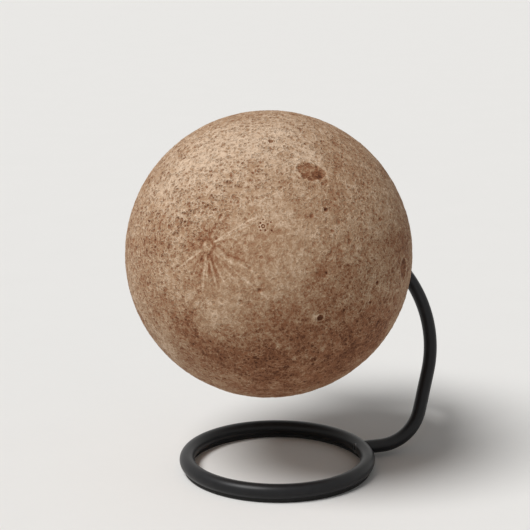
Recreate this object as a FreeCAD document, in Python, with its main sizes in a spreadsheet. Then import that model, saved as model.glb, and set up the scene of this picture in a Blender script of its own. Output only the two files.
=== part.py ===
import FreeCAD, Part
import math
import os
import Sketcher

# A moon lamp on a bent-bar stand, in millimetres.
# The origin is on the tabletop, under the middle of the base ring.
# +Z is up, +X is the side where the arm leaves the ring, and -Y is the front.
# The head turns on an axle along Y, through the middle of the moon.

# Name, value and meaning of each size that can be set by itself.
SIZES = [
    # stand
    ("ring_radius", 48.5, "middle of the ring to the middle of its bar"),
    ("bar_radius", 4.0, "ring bar"),
    ("foot_width", 3.0, "rubber foot, across the strip"),
    ("foot_proud", 1.5, "rubber foot below the ring bar"),
    ("foot_seat", 1.2, "depth of the foot's groove, above the bar's lowest line"),
    ("arm_bar_radius", 3.7, "arm bar"),
    ("arm_turn", 18.3, "angle round the ring where the arm leaves it"),
    ("arm_reach", 79.0, "lower bend's corner, from the middle of the ring"),
    ("knee_side", 104.6, "upper bend's corner, to the right of the ring's middle"),
    ("knee_height", 107.8, "upper bend's corner, above the tabletop"),
    ("low_bend", 28.5, "radius of the lower bend"),
    ("high_bend", 71.0, "radius of the upper bend"),
    ("arm_screw_radius", 2.0, "screw that holds the arm to the ring"),
    ("arm_screw_head_radius", 2.7, "its head"),
    ("arm_screw_head_height", 1.8, "its head"),
    ("arm_screw_bite", 6.0, "its thread inside the arm"),
    ("arm_key_radius", 1.4, "key recess in its head, middle to corner"),
    ("arm_key_depth", 1.3, "key recess in its head"),
    ("counterbore_floor", 2.0, "head seat, from the middle of the bar to the inside"),
    ("screw_gap", 0.15, "room round a screw in a plain hole, on the radius"),
    # hub
    ("hub_radius", 12.0, "hub barrel"),
    ("hub_length", 16.8, "hub barrel"),
    ("hub_bevel", 1.0, "edges of the hub barrel"),
    ("collar_radius", 6.8, "collar of the hub that takes the arm"),
    ("collar_reach", 22.0, "collar's end, from the hub's axis"),
    ("arm_stop", 10.5, "arm's end, from the hub's axis"),
    ("grub_radius", 2.0, "set screw in the collar"),
    ("grub_reach", 16.5, "set screw, from the hub's axis"),
    ("grub_sunk", 0.3, "set screw below the collar's surface"),
    ("grub_key_radius", 1.2, "key recess in the set screw, middle to corner"),
    ("grub_key_depth", 1.4, "key recess in the set screw"),
    ("bush_wall", 1.5, "hub bushing sleeve"),
    ("bush_flange_radius", 7.6, "hub bushing flange"),
    ("bush_flange", 1.0, "thickness of the bushing flange"),
    ("bush_length", 7.0, "bushing sleeve inside the hub"),
    ("running_gap", 0.06, "axle in its bushings, on the radius"),
    ("end_play", 0.15, "between turning faces, along the axle"),
    # moon
    ("moon_height", 118.0, "middle of the moon above the tabletop"),
    ("moon_side", 4.6, "middle of the moon, to the left of the ring's middle"),
    ("moon_radius", 75.0, "outside of the moon shell"),
    ("shell_wall", 2.2, "moon shell"),
    ("neck_radius", 27.0, "opening at the back of the moon shell"),
    ("sleeve_wall", 2.0, "sleeve round the opening, inside"),
    ("sleeve_length", 12.5, "sleeve round the opening, inside"),
    ("neck_ring_bore", 21.0, "screw ring inside the sleeve"),
    ("neck_ring_height", 8.0, "screw ring inside the sleeve"),
    ("gasket_outer", 30.0, "gasket under the cap's edge"),
    ("gasket_lift", 1.2, "gasket above the opening's edge"),
    # rear cap
    ("cap_radius", 30.6, "rear cap"),
    ("cap_thickness", 3.0, "rear cap plate"),
    ("cap_edge", 1.2, "round on the cap's edge"),
    ("register_wall", 5.2, "register ring under the cap"),
    ("register_gap", 0.2, "register ring in the opening, on the radius"),
    ("boss_radius", 9.0, "axle boss on the cap"),
    ("boss_height", 5.5, "axle boss above the cap's face"),
    ("boss_fillet", 1.8, "foot of the axle boss"),
    ("cap_screw_offset", 23.9, "cap screws, from the axle"),
    ("cap_screw_radius", 1.25, "cap screw thread"),
    ("cap_screw_head", 2.6, "cap screw head, radius"),
    ("cap_screw_length", 9.0, "cap screw"),
    ("cap_key_radius", 1.25, "key recess in the cap screw, middle to corner"),
    ("cap_key_depth", 1.1, "key recess in the cap screw"),
    ("fitting_offset", 15.2, "button, socket and board screws, from the axle"),
    # button
    ("button_radius", 4.2, "power button"),
    ("button_proud", 1.2, "power button above the cap's face"),
    ("button_round", 0.6, "round on the power button's edge"),
    ("button_guide_gap", 0.15, "power button in its guide, on the radius"),
    ("button_flange_radius", 5.1, "flange that keeps the button in"),
    ("button_flange", 1.0, "thickness of that flange"),
    ("button_flange_gap", 0.3, "flange below the cap's inner face"),
    ("button_travel", 0.8, "how far the button goes in"),
    ("button_stem_radius", 1.6, "stem that meets the switch"),
    ("button_stem_gap", 0.15, "stem to plunger, with the button fully in"),
    # boards and light
    ("pillar_radius", 2.3, "board pillars under the cap"),
    ("pillar_height", 8.0, "board pillars under the cap"),
    ("board_radius", 19.5, "control board"),
    ("board_thickness", 1.6, "control board"),
    ("board_screw_radius", 1.2, "board screws"),
    ("board_screw_head", 2.1, "board screw head, radius"),
    ("board_screw_head_height", 1.5, "board screw head"),
    ("board_screw_bite", 5.0, "board screw thread inside the pillar"),
    ("socket_width", 9.0, "charging socket"),
    ("socket_height", 3.3, "charging socket"),
    ("socket_sunk", 0.3, "charging socket below the cap's face"),
    ("socket_wall", 0.35, "charging socket shell"),
    ("socket_depth", 6.5, "charging socket's hollow"),
    ("tongue_width", 6.6, "contact tongue in the socket"),
    ("tongue_height", 0.7, "contact tongue in the socket"),
    ("tongue_sunk", 0.8, "contact tongue's tip inside the socket's mouth"),
    ("socket_gap", 0.2, "charging socket in the cap's slot"),
    ("switch_width", 6.0, "tactile switch"),
    ("switch_height", 3.4, "tactile switch"),
    ("plunger_radius", 1.7, "tactile switch plunger"),
    ("plunger_height", 0.9, "tactile switch plunger"),
    ("pipe_radius", 1.25, "light pipe of the charge indicator"),
    ("column_wall", 1.5, "light column tube"),
    ("column_flange_radius", 19.0, "light column flange"),
    ("column_flange", 2.0, "thickness of the column flange"),
    ("battery_radius", 7.1, "battery cell"),
    ("battery_length", 49.0, "battery cell"),
    ("battery_room", 2.9, "foam spacers between cell and column, on the radius"),
    ("spacer_height", 6.0, "foam spacers round the cell"),
    ("spacer_inset", 4.0, "foam spacers from the cell's ends"),
    ("pad_thickness", 1.3, "foam pads at the cell's ends"),
    ("sink_radius", 13.0, "heat sink disc"),
    ("sink_thickness", 3.0, "heat sink disc"),
    ("sink_spigot", 2.0, "heat sink spigot inside the column"),
    ("led_board_radius", 11.0, "light-source board"),
    ("led_board_thickness", 1.0, "light-source board"),
    ("chip_width", 3.5, "light source chip"),
    ("chip_height", 0.7, "light source chip"),
    ("chip_offset", 6.6, "light source chips, from the axle line"),
    ("diffuser_wall", 1.2, "diffuser dome"),
    ("diffuser_skirt", 5.5, "diffuser skirt from its rim to the dome's middle"),
    # axle
    ("axle_radius", 4.0, "axle"),
    ("axle_flange_radius", 9.3, "axle flange inside the cap"),
    ("axle_flange", 2.5, "thickness of the axle flange"),
    ("flange_screw_offset", 6.6, "screws through the axle flange, from its middle"),
    ("axle_screw_radius", 1.0, "screws through the axle flange"),
    ("axle_screw_head", 1.7, "head of those screws, radius"),
    ("axle_screw_head_height", 1.2, "head of those screws"),
    ("axle_screw_length", 7.0, "screws through the axle flange"),
    ("thread_radius", 3.0, "threaded end of the axle"),
    ("washer_radius", 8.0, "washers on the axle"),
    ("washer_thickness", 0.8, "washers on the axle"),
    ("washer_gap", 0.15, "washers round the axle, on the radius"),
    ("spring_radius", 7.0, "conical spring washer"),
    ("spring_thickness", 0.6, "conical spring washer"),
    ("spring_cone", 0.5, "rise of the conical spring washer"),
    ("nut_flat", 10.0, "lock nut, across flats"),
    ("nut_height", 5.0, "lock nut"),
    ("nut_collar_radius", 4.5, "lock nut's collar"),
    ("nut_collar", 1.2, "lock nut's collar"),
    ("axle_past_nut", 0.5, "thread past the lock nut"),
    ("axle_bevel", 0.5, "bevel on the axle's threaded end"),
    ("cover_wall", 1.2, "cover over the lock nut"),
    ("cover_round", 3.5, "round on the cover's edge"),
    ("cover_air", 0.9, "air between the axle's end and the cover"),
    ("cover_lap", 0.3, "cover's rim beyond the washer's front face, towards the hub"),
]

# Craters cut into the outside of the shell: name, turn from the front towards +X,
# tilt above the level of the axle, both in degrees, then rim radius and depth.
CRATERS = [
    ("basin", 23.8, 44.3, 5.8, 0.45),
    ("bay", 28.4, 39.8, 2.4, 0.30),
    ("high_pit", 24.6, 28.7, 1.4, 0.35),
    ("ringed_pit", -2.2, 23.3, 1.8, 0.35),
    ("crown_pit", 1.8, 61.1, 1.9, 0.30),
    ("rayed_pit", -23.9, 15.0, 2.4, 0.35),
    ("soft_hollow", 18.7, 6.6, 4.2, 0.30),
    ("low_pit", 19.6, -11.8, 2.3, 0.60),
    ("side_pit", 45.4, -1.7, 1.6, 0.40),
    ("limb_hollow", 65.3, 0.1, 4.4, 0.45),
    ("left_hollow", -70.0, -22.0, 5.0, 0.40),
    ("under_hollow", 10.0, -62.0, 5.5, 0.40),
    ("left_crown", -60.0, 48.0, 4.0, 0.40),
    ("right_low", 88.0, -42.0, 5.5, 0.45),
    ("right_back", 118.0, 24.0, 5.0, 0.45),
    ("left_back", -116.0, 30.0, 6.0, 0.45),
    ("back_low", -132.0, -34.0, 5.0, 0.40),
    ("back_crown", 160.0, 58.0, 5.5, 0.45),
]

# Sizes that follow from the others, worked out by the sheet.
FOLLOWING = [
    ("ring_plane", "foot_proud + bar_radius"),
    ("foot_inner", "ring_radius - foot_width / 2"),
    ("foot_outer", "ring_radius + foot_width / 2"),
    ("foot_height", "foot_proud + foot_seat"),
    # moon shell, measured along the axle from the middle of the moon
    ("shell_inner", "moon_radius - shell_wall"),
    ("shell_front", "0 - moon_radius"),
    ("shell_inner_front", "0 - shell_inner"),
    ("neck_edge", "sqrt(moon_radius ^ 2 - neck_radius ^ 2)"),
    ("sleeve_outer", "neck_radius + sleeve_wall"),
    ("sleeve_end", "neck_edge - sleeve_length"),
    ("sleeve_root", "sqrt(shell_inner ^ 2 - sleeve_outer ^ 2)"),
    ("neck_ring_front", "neck_edge - neck_ring_height"),
    ("gasket_seat", "sqrt(moon_radius ^ 2 - gasket_outer ^ 2)"),
    # rear cap
    ("cap_seat", "neck_edge + gasket_lift"),
    ("cap_face", "cap_seat + cap_thickness"),
    ("cap_edge_start", "cap_face - cap_edge"),
    ("cap_edge_inner", "cap_radius - cap_edge"),
    ("register_outer", "neck_radius - register_gap"),
    ("register_inner", "register_outer - register_wall"),
    ("boss_foot", "boss_radius + boss_fillet"),
    ("boss_foot_top", "cap_face + boss_fillet"),
    ("boss_face", "cap_face + boss_height"),
    ("cap_bore", "axle_radius + washer_gap"),
    ("guide_radius", "button_radius + button_guide_gap"),
    ("slot_width", "socket_width + 2 * socket_gap"),
    ("slot_height", "socket_height + 2 * socket_gap"),
    ("cap_screw_hole", "cap_screw_radius + screw_gap"),
    ("cap_screw_tip", "cap_face - cap_screw_length"),
    ("cap_screw_neck", "cap_face - cap_screw_head + cap_screw_radius"),
    # control board and light column
    ("board_back", "cap_seat - pillar_height"),
    ("board_front", "board_back - board_thickness"),
    ("column_flange_front", "board_front - column_flange"),
    ("column_inner", "battery_radius + battery_room"),
    ("column_outer", "column_inner + column_wall"),
    ("battery_back", "board_front - pad_thickness"),
    ("battery_front", "battery_back - battery_length"),
    ("spigot_back", "battery_front - pad_thickness"),
    ("sink_back", "spigot_back - sink_spigot"),
    ("sink_front", "sink_back - sink_thickness"),
    ("led_board_front", "sink_front - led_board_thickness"),
    ("chip_front", "led_board_front - chip_height"),
    ("diffuser_outer", "sink_radius + diffuser_wall"),
    ("dome_middle", "sink_back - diffuser_skirt"),
    ("dome_tip", "dome_middle - diffuser_outer"),
    ("dome_inner_tip", "dome_middle - sink_radius"),
    ("screw_hole", "board_screw_radius + screw_gap"),
    ("board_screw_tip", "board_back + board_screw_bite"),
    ("board_screw_front", "column_flange_front - board_screw_head_height"),
    ("socket_back", "cap_face - socket_sunk"),
    ("switch_back", "board_back + switch_height"),
    ("plunger_back", "switch_back + plunger_height"),
    # button
    ("button_back", "cap_face + button_proud"),
    ("button_round_start", "button_back - button_round"),
    ("button_round_inner", "button_radius - button_round"),
    ("button_flange_back", "cap_seat - button_flange_gap"),
    ("button_flange_front", "button_flange_back - button_flange"),
    ("button_stem_front", "plunger_back + button_travel + button_stem_gap"),
    # axle, hub and what is on the axle
    ("axle_flange_front", "cap_seat - axle_flange"),
    ("axle_screw_hole", "axle_screw_radius + screw_gap"),
    ("axle_screw_front", "axle_flange_front - axle_screw_head_height"),
    ("axle_screw_tip", "axle_flange_front + axle_screw_length"),
    ("washer_bore", "axle_radius + washer_gap"),
    ("thrust_back", "boss_face + washer_thickness"),
    ("bush_front", "thrust_back + end_play"),
    ("hub_front", "bush_front + bush_flange"),
    ("hub_middle", "hub_front + hub_length / 2"),
    ("hub_back", "hub_front + hub_length"),
    ("bush_back", "hub_back + bush_flange"),
    ("bush_bore", "axle_radius + running_gap"),
    ("bush_outer", "bush_bore + bush_wall"),
    ("bush_front_end", "hub_front + bush_length"),
    ("bush_back_end", "hub_back - bush_length"),
    ("hub_rim", "hub_radius - hub_bevel"),
    ("hub_bevel_front", "hub_front + hub_bevel"),
    ("hub_bevel_back", "hub_back - hub_bevel"),
    ("flat_front", "bush_back + end_play"),
    ("flat_back", "flat_front + washer_thickness"),
    ("spring_bore", "thread_radius + washer_gap"),
    ("spring_rim_back", "flat_back + spring_thickness"),
    ("spring_eye_front", "flat_back + spring_cone"),
    ("spring_back", "spring_eye_front + spring_thickness"),
    ("nut_back", "spring_back + nut_height"),
    ("nut_collar_back", "nut_back + nut_collar"),
    ("nut_corner", "nut_flat / sqrt(3)"),
    ("axle_back", "nut_collar_back + axle_past_nut"),
    ("axle_tip_bevel", "axle_back - axle_bevel"),
    ("axle_tip_radius", "thread_radius - axle_bevel"),
    ("cover_inner", "washer_radius"),
    ("cover_outer", "washer_radius + cover_wall"),
    ("cover_rim", "flat_front - cover_lap + washer_thickness / 2"),
    ("cover_ceiling", "axle_back + cover_air"),
    ("cover_back", "cover_ceiling + cover_wall"),
    ("cover_shoulder", "cover_back - cover_round"),
    ("cover_flat", "cover_outer - cover_round"),
]

SCREWS = 3  # screws in each set round the axle
FIRST_SCREW = 60  # cap and axle screws: the first one's angle from +X downwards
OUTER_CHIPS = 6  # light source chips round the middle one
HEXAGON_SIDES = 6  # sides of the nut and of the key recesses

SHEET = "Sizes"
doc = FreeCAD.newDocument("moon_lamp")
sheet = doc.addObject("Spreadsheet::Sheet", SHEET)


def fill_sheet():
    """Write every size into the sheet, one row each, with its alias."""
    rows = [(name, str(value), note) for name, value, note in SIZES]
    for name, turn, tilt, rim, depth in CRATERS:
        rows.append((name + "_turn", str(turn), "crater, angle from the front"))
        rows.append((name + "_tilt", str(tilt), "crater, angle above the axle"))
        rows.append((name + "_rim", str(rim), "crater, radius at the surface"))
        rows.append((name + "_depth", str(depth), "crater, depth"))
    rows += [(name, "=" + formula, "") for name, formula in FOLLOWING]
    for number, (name, content, note) in enumerate(rows, start=1):
        sheet.set("A%d" % number, name)
        sheet.set("B%d" % number, content)
        sheet.setAlias("B%d" % number, name)
        sheet.set("C%d" % number, note)
    doc.recompute()


def size(name):
    """The value of a size, in millimetres or degrees."""
    return float(sheet.get(name))


def cell(name):
    """The expression that reads a size from the sheet."""
    return SHEET + "." + name


def tie(thing, **properties):
    """Bind properties of an object to sizes of the sheet."""
    for prop, name in properties.items():
        thing.setExpression(prop, cell(name))


def on_lamp_axis(thing, across=0.0, below=0.0):
    """Stand a piece on the axle line: its own +Z becomes +Y, from the middle of the moon."""
    turn = FreeCAD.Rotation(FreeCAD.Vector(1, 0, 0), -90)
    spot = FreeCAD.Vector(across - size("moon_side"), 0, size("moon_height") - below)
    thing.Placement = FreeCAD.Placement(spot, turn)
    thing.setExpression("Placement.Base.x", "%r - %s" % (across, cell("moon_side")))
    thing.setExpression("Placement.Base.z", "%s - %r" % (cell("moon_height"), below))
    return thing


def spots_round(circle, count, first=0.0):
    """Across and below distances of evenly spaced points round the axle, from +X downwards."""
    spots = []
    for number in range(count):
        angle = math.radians(first + number * 360 / count)
        spots.append((size(circle) * math.cos(angle), size(circle) * math.sin(angle)))
    return spots


# ---- sketches and bodies ----


def new_sketch(body, plane):
    sketch = body.newObject("Sketcher::SketchObject", body.Name + "_sketch")
    face = [f for f in body.Origin.OriginFeatures if f.Role == plane][0]
    sketch.AttachmentSupport = [(face, "")]
    sketch.MapMode = "FlatFace"
    sketch.Visibility = False
    return sketch


def fix_point(sketch, geometry, point, across, up):
    """Hold a sketch point at two sizes; None leaves one free and "zero" puts it on an axis."""
    for name, axis, kind in ((across, -2, "DistanceX"), (up, -1, "DistanceY")):
        if name is None:
            continue
        if name == "zero":
            sketch.addConstraint(Sketcher.Constraint("PointOnObject", geometry, point, axis))
            continue
        rule = Sketcher.Constraint(kind, -1, 1, geometry, point, size(name))
        index = sketch.addConstraint(rule)
        sketch.setExpression("Constraints[%d]" % index, cell(name))


def spot_of(corner):
    across, up = [0.0 if name == "zero" else size(name) for name in corner]
    return FreeCAD.Vector(across, up, 0)


def arc_between(start, end, middle):
    """The shorter arc round a middle, from start to end, and whether it runs backwards."""
    a0 = math.atan2(start.y - middle.y, start.x - middle.x)
    a1 = math.atan2(end.y - middle.y, end.x - middle.x)
    backwards = (a1 - a0) % (2 * math.pi) > math.pi
    if backwards:
        a0, a1 = a1, a0
    radius = (start - middle).Length
    circle = Part.Circle(middle, FreeCAD.Vector(0, 0, 1), radius)
    return Part.ArcOfCircle(circle, a0, a1), backwards


def outline(sketch, corners, arcs=None):
    """A closed outline through corners; arcs gives the middle of the arc that leaves a corner."""
    arcs = arcs or {}
    count = len(corners)
    ends = []
    for number, corner in enumerate(corners):
        start = spot_of(corner)
        end = spot_of(corners[(number + 1) % count])
        if number in arcs:
            curve, backwards = arc_between(start, end, spot_of(arcs[number]))
            geometry = sketch.addGeometry(curve, False)
            ends.append((geometry, 2, 1) if backwards else (geometry, 1, 2))
        else:
            geometry = sketch.addGeometry(Part.LineSegment(start, end), False)
            ends.append((geometry, 1, 2))
    for number, (geometry, _, last) in enumerate(ends):
        after, first, _ = ends[(number + 1) % count]
        sketch.addConstraint(Sketcher.Constraint("Coincident", geometry, last, after, first))
    for number, (geometry, first, _) in enumerate(ends):
        fix_point(sketch, geometry, first, *corners[number])
    for number, middle in arcs.items():
        chord = spot_of(corners[(number + 1) % count]) - spot_of(corners[number])
        steep = abs(chord.y) > abs(chord.x)
        held = (middle[0], None) if steep else (None, middle[1])
        fix_point(sketch, ends[number][0], 3, *held)


def turned(label, corners, arcs=None):
    """A body turned about its own Z axis from a half outline of (radius, height) corners."""
    body = doc.addObject("PartDesign::Body", label)
    body.Label = label
    sketch = new_sketch(body, "XZ_Plane")
    outline(sketch, corners, arcs)
    spin = body.newObject("PartDesign::Revolution", label + "_turned")
    spin.Profile = sketch
    spin.ReferenceAxis = (sketch, ["V_Axis"])
    spin.Angle = 360
    return body


def tube_outline(inner, outer, low, high):
    return [(inner, low), (outer, low), (outer, high), (inner, high)]


def through_pocket(body, draw):
    """Cut what draw puts in a sketch across the axis, right through the body."""
    sketch = new_sketch(body, "XY_Plane")
    draw(sketch)
    cut = body.newObject("PartDesign::Pocket", body.Name + "_cut")
    cut.Profile = sketch
    cut.Type = "ThroughAll"
    cut.SideType = "Symmetric"
    return cut


def circle_in(sketch, across, up, radius):
    """A circle whose middle and radius follow sizes; a leading minus sign mirrors a size."""
    middle = FreeCAD.Vector(signed(across), signed(up), 0)
    normal = FreeCAD.Vector(0, 0, 1)
    index = sketch.addGeometry(Part.Circle(middle, normal, size(radius)), False)
    for name, axis, kind, value in (
        (across, -2, "DistanceX", middle.x),
        (up, -1, "DistanceY", middle.y),
    ):
        if name == "zero":
            sketch.addConstraint(Sketcher.Constraint("PointOnObject", index, 3, axis))
            continue
        rule = sketch.addConstraint(Sketcher.Constraint(kind, -1, 1, index, 3, value))
        sketch.setExpression("Constraints[%d]" % rule, signed_cell(name))
    rule = sketch.addConstraint(Sketcher.Constraint("Radius", index, size(radius)))
    sketch.setExpression("Constraints[%d]" % rule, cell(radius))


def signed(name):
    if name == "zero":
        return 0.0
    return -size(name[1:]) if name.startswith("-") else size(name)


def signed_cell(name):
    return "-" + cell(name[1:]) if name.startswith("-") else cell(name)


def one_for_each_screw(body, feature):
    """Repeat a cut round the body's axis, once for each screw of a set."""
    pattern = body.newObject("PartDesign::PolarPattern", body.Name + "_round")
    pattern.Originals = [feature]
    axis = [f for f in body.Origin.OriginFeatures if f.Role == "Z_Axis"][0]
    pattern.Axis = (axis, [""])
    pattern.Angle = 360
    pattern.Occurrences = SCREWS
    body.Tip = pattern


# ---- plain solids and booleans ----


def rod(label, radius, length, placement=None):
    piece = doc.addObject("Part::Cylinder", label)
    piece.Label = label
    tie(piece, Radius=radius)
    if isinstance(length, str):
        tie(piece, Height=length)
    else:
        piece.Height = length
    if placement is not None:
        piece.Placement = placement
    return piece


def cut(label, base, tool):
    piece = doc.addObject("Part::Cut", label)
    piece.Label = label
    piece.Base = base
    piece.Tool = tool
    return piece


def joined(label, pieces):
    piece = doc.addObject("Part::MultiFuse", label)
    piece.Label = label
    piece.Shapes = pieces
    return piece


def grouped(label, pieces):
    group = doc.addObject("Part::Compound", label)
    group.Label = label
    group.Links = pieces
    return group


def hex_key(label, radius, depth, placement):
    """A hexagonal key recess, to be cut from a screw head."""
    piece = doc.addObject("Part::Prism", label)
    piece.Polygon = HEXAGON_SIDES
    tie(piece, Circumradius=radius, Height=depth)
    piece.Placement = placement
    return piece


def facing(spot, direction):
    """A placement whose own +Z points along a direction."""
    return FreeCAD.Placement(spot, FreeCAD.Rotation(FreeCAD.Vector(0, 0, 1), direction))


# ---- stand ----


def arm_corners():
    """The arm's corner points, from the ring to the hub, with the direction of each end."""
    turn = math.radians(size("arm_turn"))
    out = FreeCAD.Vector(math.cos(turn), math.sin(turn), 0)
    level = FreeCAD.Vector(0, 0, size("ring_plane"))
    start = out * size("ring_radius") + level
    low = out * size("arm_reach") + level
    knee = FreeCAD.Vector(size("knee_side"), size("hub_middle"), size("knee_height"))
    hub = FreeCAD.Vector(-size("moon_side"), size("hub_middle"), size("moon_height"))
    inward = (knee - hub).normalize()
    return start, low, knee, hub, out, inward


def bend(before, corner, after, radius):
    """Where a bend of that radius starts, its middle point and where it ends."""
    back = (before - corner).normalize()
    on = (after - corner).normalize()
    half = back.getAngle(on) / 2
    run = radius / math.tan(half)
    middle_way = (back + on).normalize()
    deep = radius / math.sin(half) - radius
    return corner + back * run, corner + middle_way * deep, corner + on * run


def make_arm(foot):
    """A round bar: out from the ring, up through two bends and into the hub's collar."""
    start, low, knee, hub, out, inward = arm_corners()
    tip = hub + inward * size("arm_stop")
    a0, a1, a2 = bend(start, low, knee, size("low_bend"))
    b0, b1, b2 = bend(low, knee, tip, size("high_bend"))
    edges = [
        Part.LineSegment(start, a0).toShape(),
        Part.Arc(a0, a1, a2).toShape(),
        Part.LineSegment(a2, b0).toShape(),
        Part.Arc(b0, b1, b2).toShape(),
        Part.LineSegment(b2, tip).toShape(),
    ]
    path = doc.addObject("Part::Feature", "arm_path")
    path.Shape = Part.Wire(edges)
    section = doc.addObject("Part::Circle", "arm_section")
    tie(section, Radius="arm_bar_radius")
    section.Placement = facing(start, out)
    bar = doc.addObject("Part::Sweep", "arm_bar")
    bar.Sections = [section]
    bar.Spine = (path, ["Edge%d" % number for number, _ in enumerate(edges, start=1)])
    bar.Solid = True
    bar.Frenet = False
    ring = doc.addObject("Part::Torus", "arm_ring_shape")
    tie(ring, Radius1="ring_radius", Radius2="bar_radius")
    tie(ring, **{"Placement.Base.z": "ring_plane"})
    cope = joined("arm_cope", [ring, foot])
    hole_length = size("bar_radius") + size("arm_screw_bite")
    hole = rod("arm_tapped_hole", "arm_screw_radius", hole_length, facing(start, out))
    return cut("arm", cut("arm_coped", bar, cope), hole)


def make_foot_ring():
    outer = rod("foot_outside", "foot_outer", "foot_height")
    inner = rod("foot_inside", "foot_inner", "foot_height")
    return cut("foot_ring", outer, inner)


def make_base_ring(foot):
    """A closed ring of round bar with a groove for the foot and a hole for the arm's screw."""
    bar = doc.addObject("Part::Torus", "ring_bar")
    tie(bar, Radius1="ring_radius", Radius2="bar_radius")
    tie(bar, **{"Placement.Base.z": "ring_plane"})
    start, _, _, _, out, _ = arm_corners()
    seat = start - out * size("counterbore_floor")
    bore = doc.addObject("Part::Cylinder", "ring_counterbore")
    bore.setExpression("Radius", cell("arm_screw_head_radius") + " + " + cell("screw_gap"))
    tie(bore, Height="bar_radius")
    bore.Placement = facing(seat, out * -1)
    hole = doc.addObject("Part::Cylinder", "ring_hole")
    hole.setExpression("Radius", cell("arm_screw_radius") + " + " + cell("screw_gap"))
    hole.setExpression("Height", cell("bar_radius") + " + " + cell("counterbore_floor"))
    hole.Placement = facing(seat, out)
    grooved = cut("ring_grooved", bar, foot)
    return cut("base_ring", cut("ring_counterbored", grooved, bore), hole)


def make_arm_screw():
    """The screw through the ring into the arm, with a hexagonal key recess."""
    start, _, _, _, out, _ = arm_corners()
    seat = start - out * size("counterbore_floor")
    head = rod("arm_screw_head", "arm_screw_head_radius", "arm_screw_head_height")
    head.Placement = facing(seat, out * -1)
    length = size("counterbore_floor") + size("bar_radius") + size("arm_screw_bite")
    shank = rod("arm_screw_shank", "arm_screw_radius", length, facing(seat, out))
    mouth = seat - out * size("arm_screw_head_height")
    key = hex_key("arm_screw_key", "arm_key_radius", "arm_key_depth", facing(mouth, out))
    return cut("arm_screw", joined("arm_screw_solid", [head, shank]), key)


def make_hub():
    """The barrel that carries the axle, with a collar for the arm and a set screw hole."""
    barrel = turned("hub_barrel", [
        ("bush_outer", "hub_front"), ("hub_rim", "hub_front"), ("hub_radius", "hub_bevel_front"),
        ("hub_radius", "hub_bevel_back"), ("hub_rim", "hub_back"), ("bush_outer", "hub_back"),
    ])
    on_lamp_axis(barrel)
    _, _, _, hub, _, inward = arm_corners()
    collar = rod("hub_collar", "collar_radius", "collar_reach", facing(hub, inward))
    bore = rod("hub_collar_bore", "bush_outer", "hub_length")
    bore.Placement = facing(hub - FreeCAD.Vector(0, size("hub_length") / 2, 0),
                            FreeCAD.Vector(0, 1, 0))
    stop = hub + inward * size("arm_stop")
    deep = size("collar_reach") - size("arm_stop")
    socket = rod("hub_arm_socket", "arm_bar_radius", deep, facing(stop, inward))
    grub = hub + inward * size("grub_reach")
    grub_hole = rod("hub_grub_hole", "grub_radius", "collar_radius",
                    facing(grub, FreeCAD.Vector(0, 1, 0)))
    solid = joined("hub_solid", [barrel, collar])
    holes = joined("hub_holes", [bore, socket, grub_hole])
    return cut("hub", solid, holes)


def make_hub_grub_screw():
    """The set screw that clamps the arm in the collar, from behind."""
    _, _, _, hub, _, inward = arm_corners()
    back = FreeCAD.Vector(0, 1, 0)
    foot = hub + inward * size("grub_reach") + back * size("arm_bar_radius")
    length = size("collar_radius") - size("arm_bar_radius") - size("grub_sunk")
    body = rod("hub_grub_body", "grub_radius", length, facing(foot, back))
    mouth = facing(foot + back * length, back * -1)
    key = hex_key("hub_grub_key", "grub_key_radius", "grub_key_depth", mouth)
    return cut("hub_grub_screw", body, key)


def make_bushings():
    front = turned("bushing_front", [
        ("bush_bore", "bush_front"), ("bush_flange_radius", "bush_front"),
        ("bush_flange_radius", "hub_front"), ("bush_outer", "hub_front"),
        ("bush_outer", "bush_front_end"), ("bush_bore", "bush_front_end"),
    ])
    rear = turned("bushing_rear", [
        ("bush_bore", "bush_back_end"), ("bush_outer", "bush_back_end"),
        ("bush_outer", "hub_back"), ("bush_flange_radius", "hub_back"),
        ("bush_flange_radius", "bush_back"), ("bush_bore", "bush_back"),
    ])
    return [on_lamp_axis(front), on_lamp_axis(rear)]


# ---- moon shell and rear cap ----


def crater_tool(name):
    """A ball that scoops one crater out of the moon's surface."""
    turn = math.radians(size(name + "_turn"))
    tilt = math.radians(size(name + "_tilt"))
    rim, depth = size(name + "_rim"), size(name + "_depth")
    outward = FreeCAD.Vector(math.cos(tilt) * math.sin(turn),
                             -math.cos(tilt) * math.cos(turn), math.sin(tilt))
    radius = (rim ** 2 + depth ** 2) / (2 * depth)
    middle = FreeCAD.Vector(-size("moon_side"), 0, size("moon_height"))
    ball = doc.addObject("Part::Sphere", "crater_" + name)
    rim_cell, depth_cell = cell(name + "_rim"), cell(name + "_depth")
    ball.setExpression("Radius", "(%s ^ 2 + %s ^ 2) / (2 * %s)" % (rim_cell, depth_cell, depth_cell))
    ball.Placement.Base = middle + outward * (size("moon_radius") - depth + radius)
    return ball


def make_moon_shell():
    """A thin ball with an opening and an inner sleeve at the back, and craters outside."""
    ball = turned("moon_ball", [
        ("zero", "shell_front"), ("neck_radius", "neck_edge"), ("neck_radius", "sleeve_end"),
        ("sleeve_outer", "sleeve_end"), ("sleeve_outer", "sleeve_root"),
        ("zero", "shell_inner_front"),
    ], arcs={0: ("zero", "zero"), 4: ("zero", "zero")})
    on_lamp_axis(ball)
    scoops = joined("crater_scoops", [crater_tool(row[0]) for row in CRATERS])
    return cut("moon_shell", ball, scoops)


def make_neck_ring():
    """The ring glued into the sleeve, with three pilot holes for the cap's screws."""
    ring = turned("neck_ring", tube_outline("neck_ring_bore", "neck_radius",
                                            "neck_ring_front", "neck_edge"))
    hole = through_pocket(ring, lambda s: circle_in(s, "-cap_screw_offset", "zero",
                                                    "cap_screw_radius"))
    one_for_each_screw(ring, hole)
    return on_lamp_axis(ring)


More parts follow.
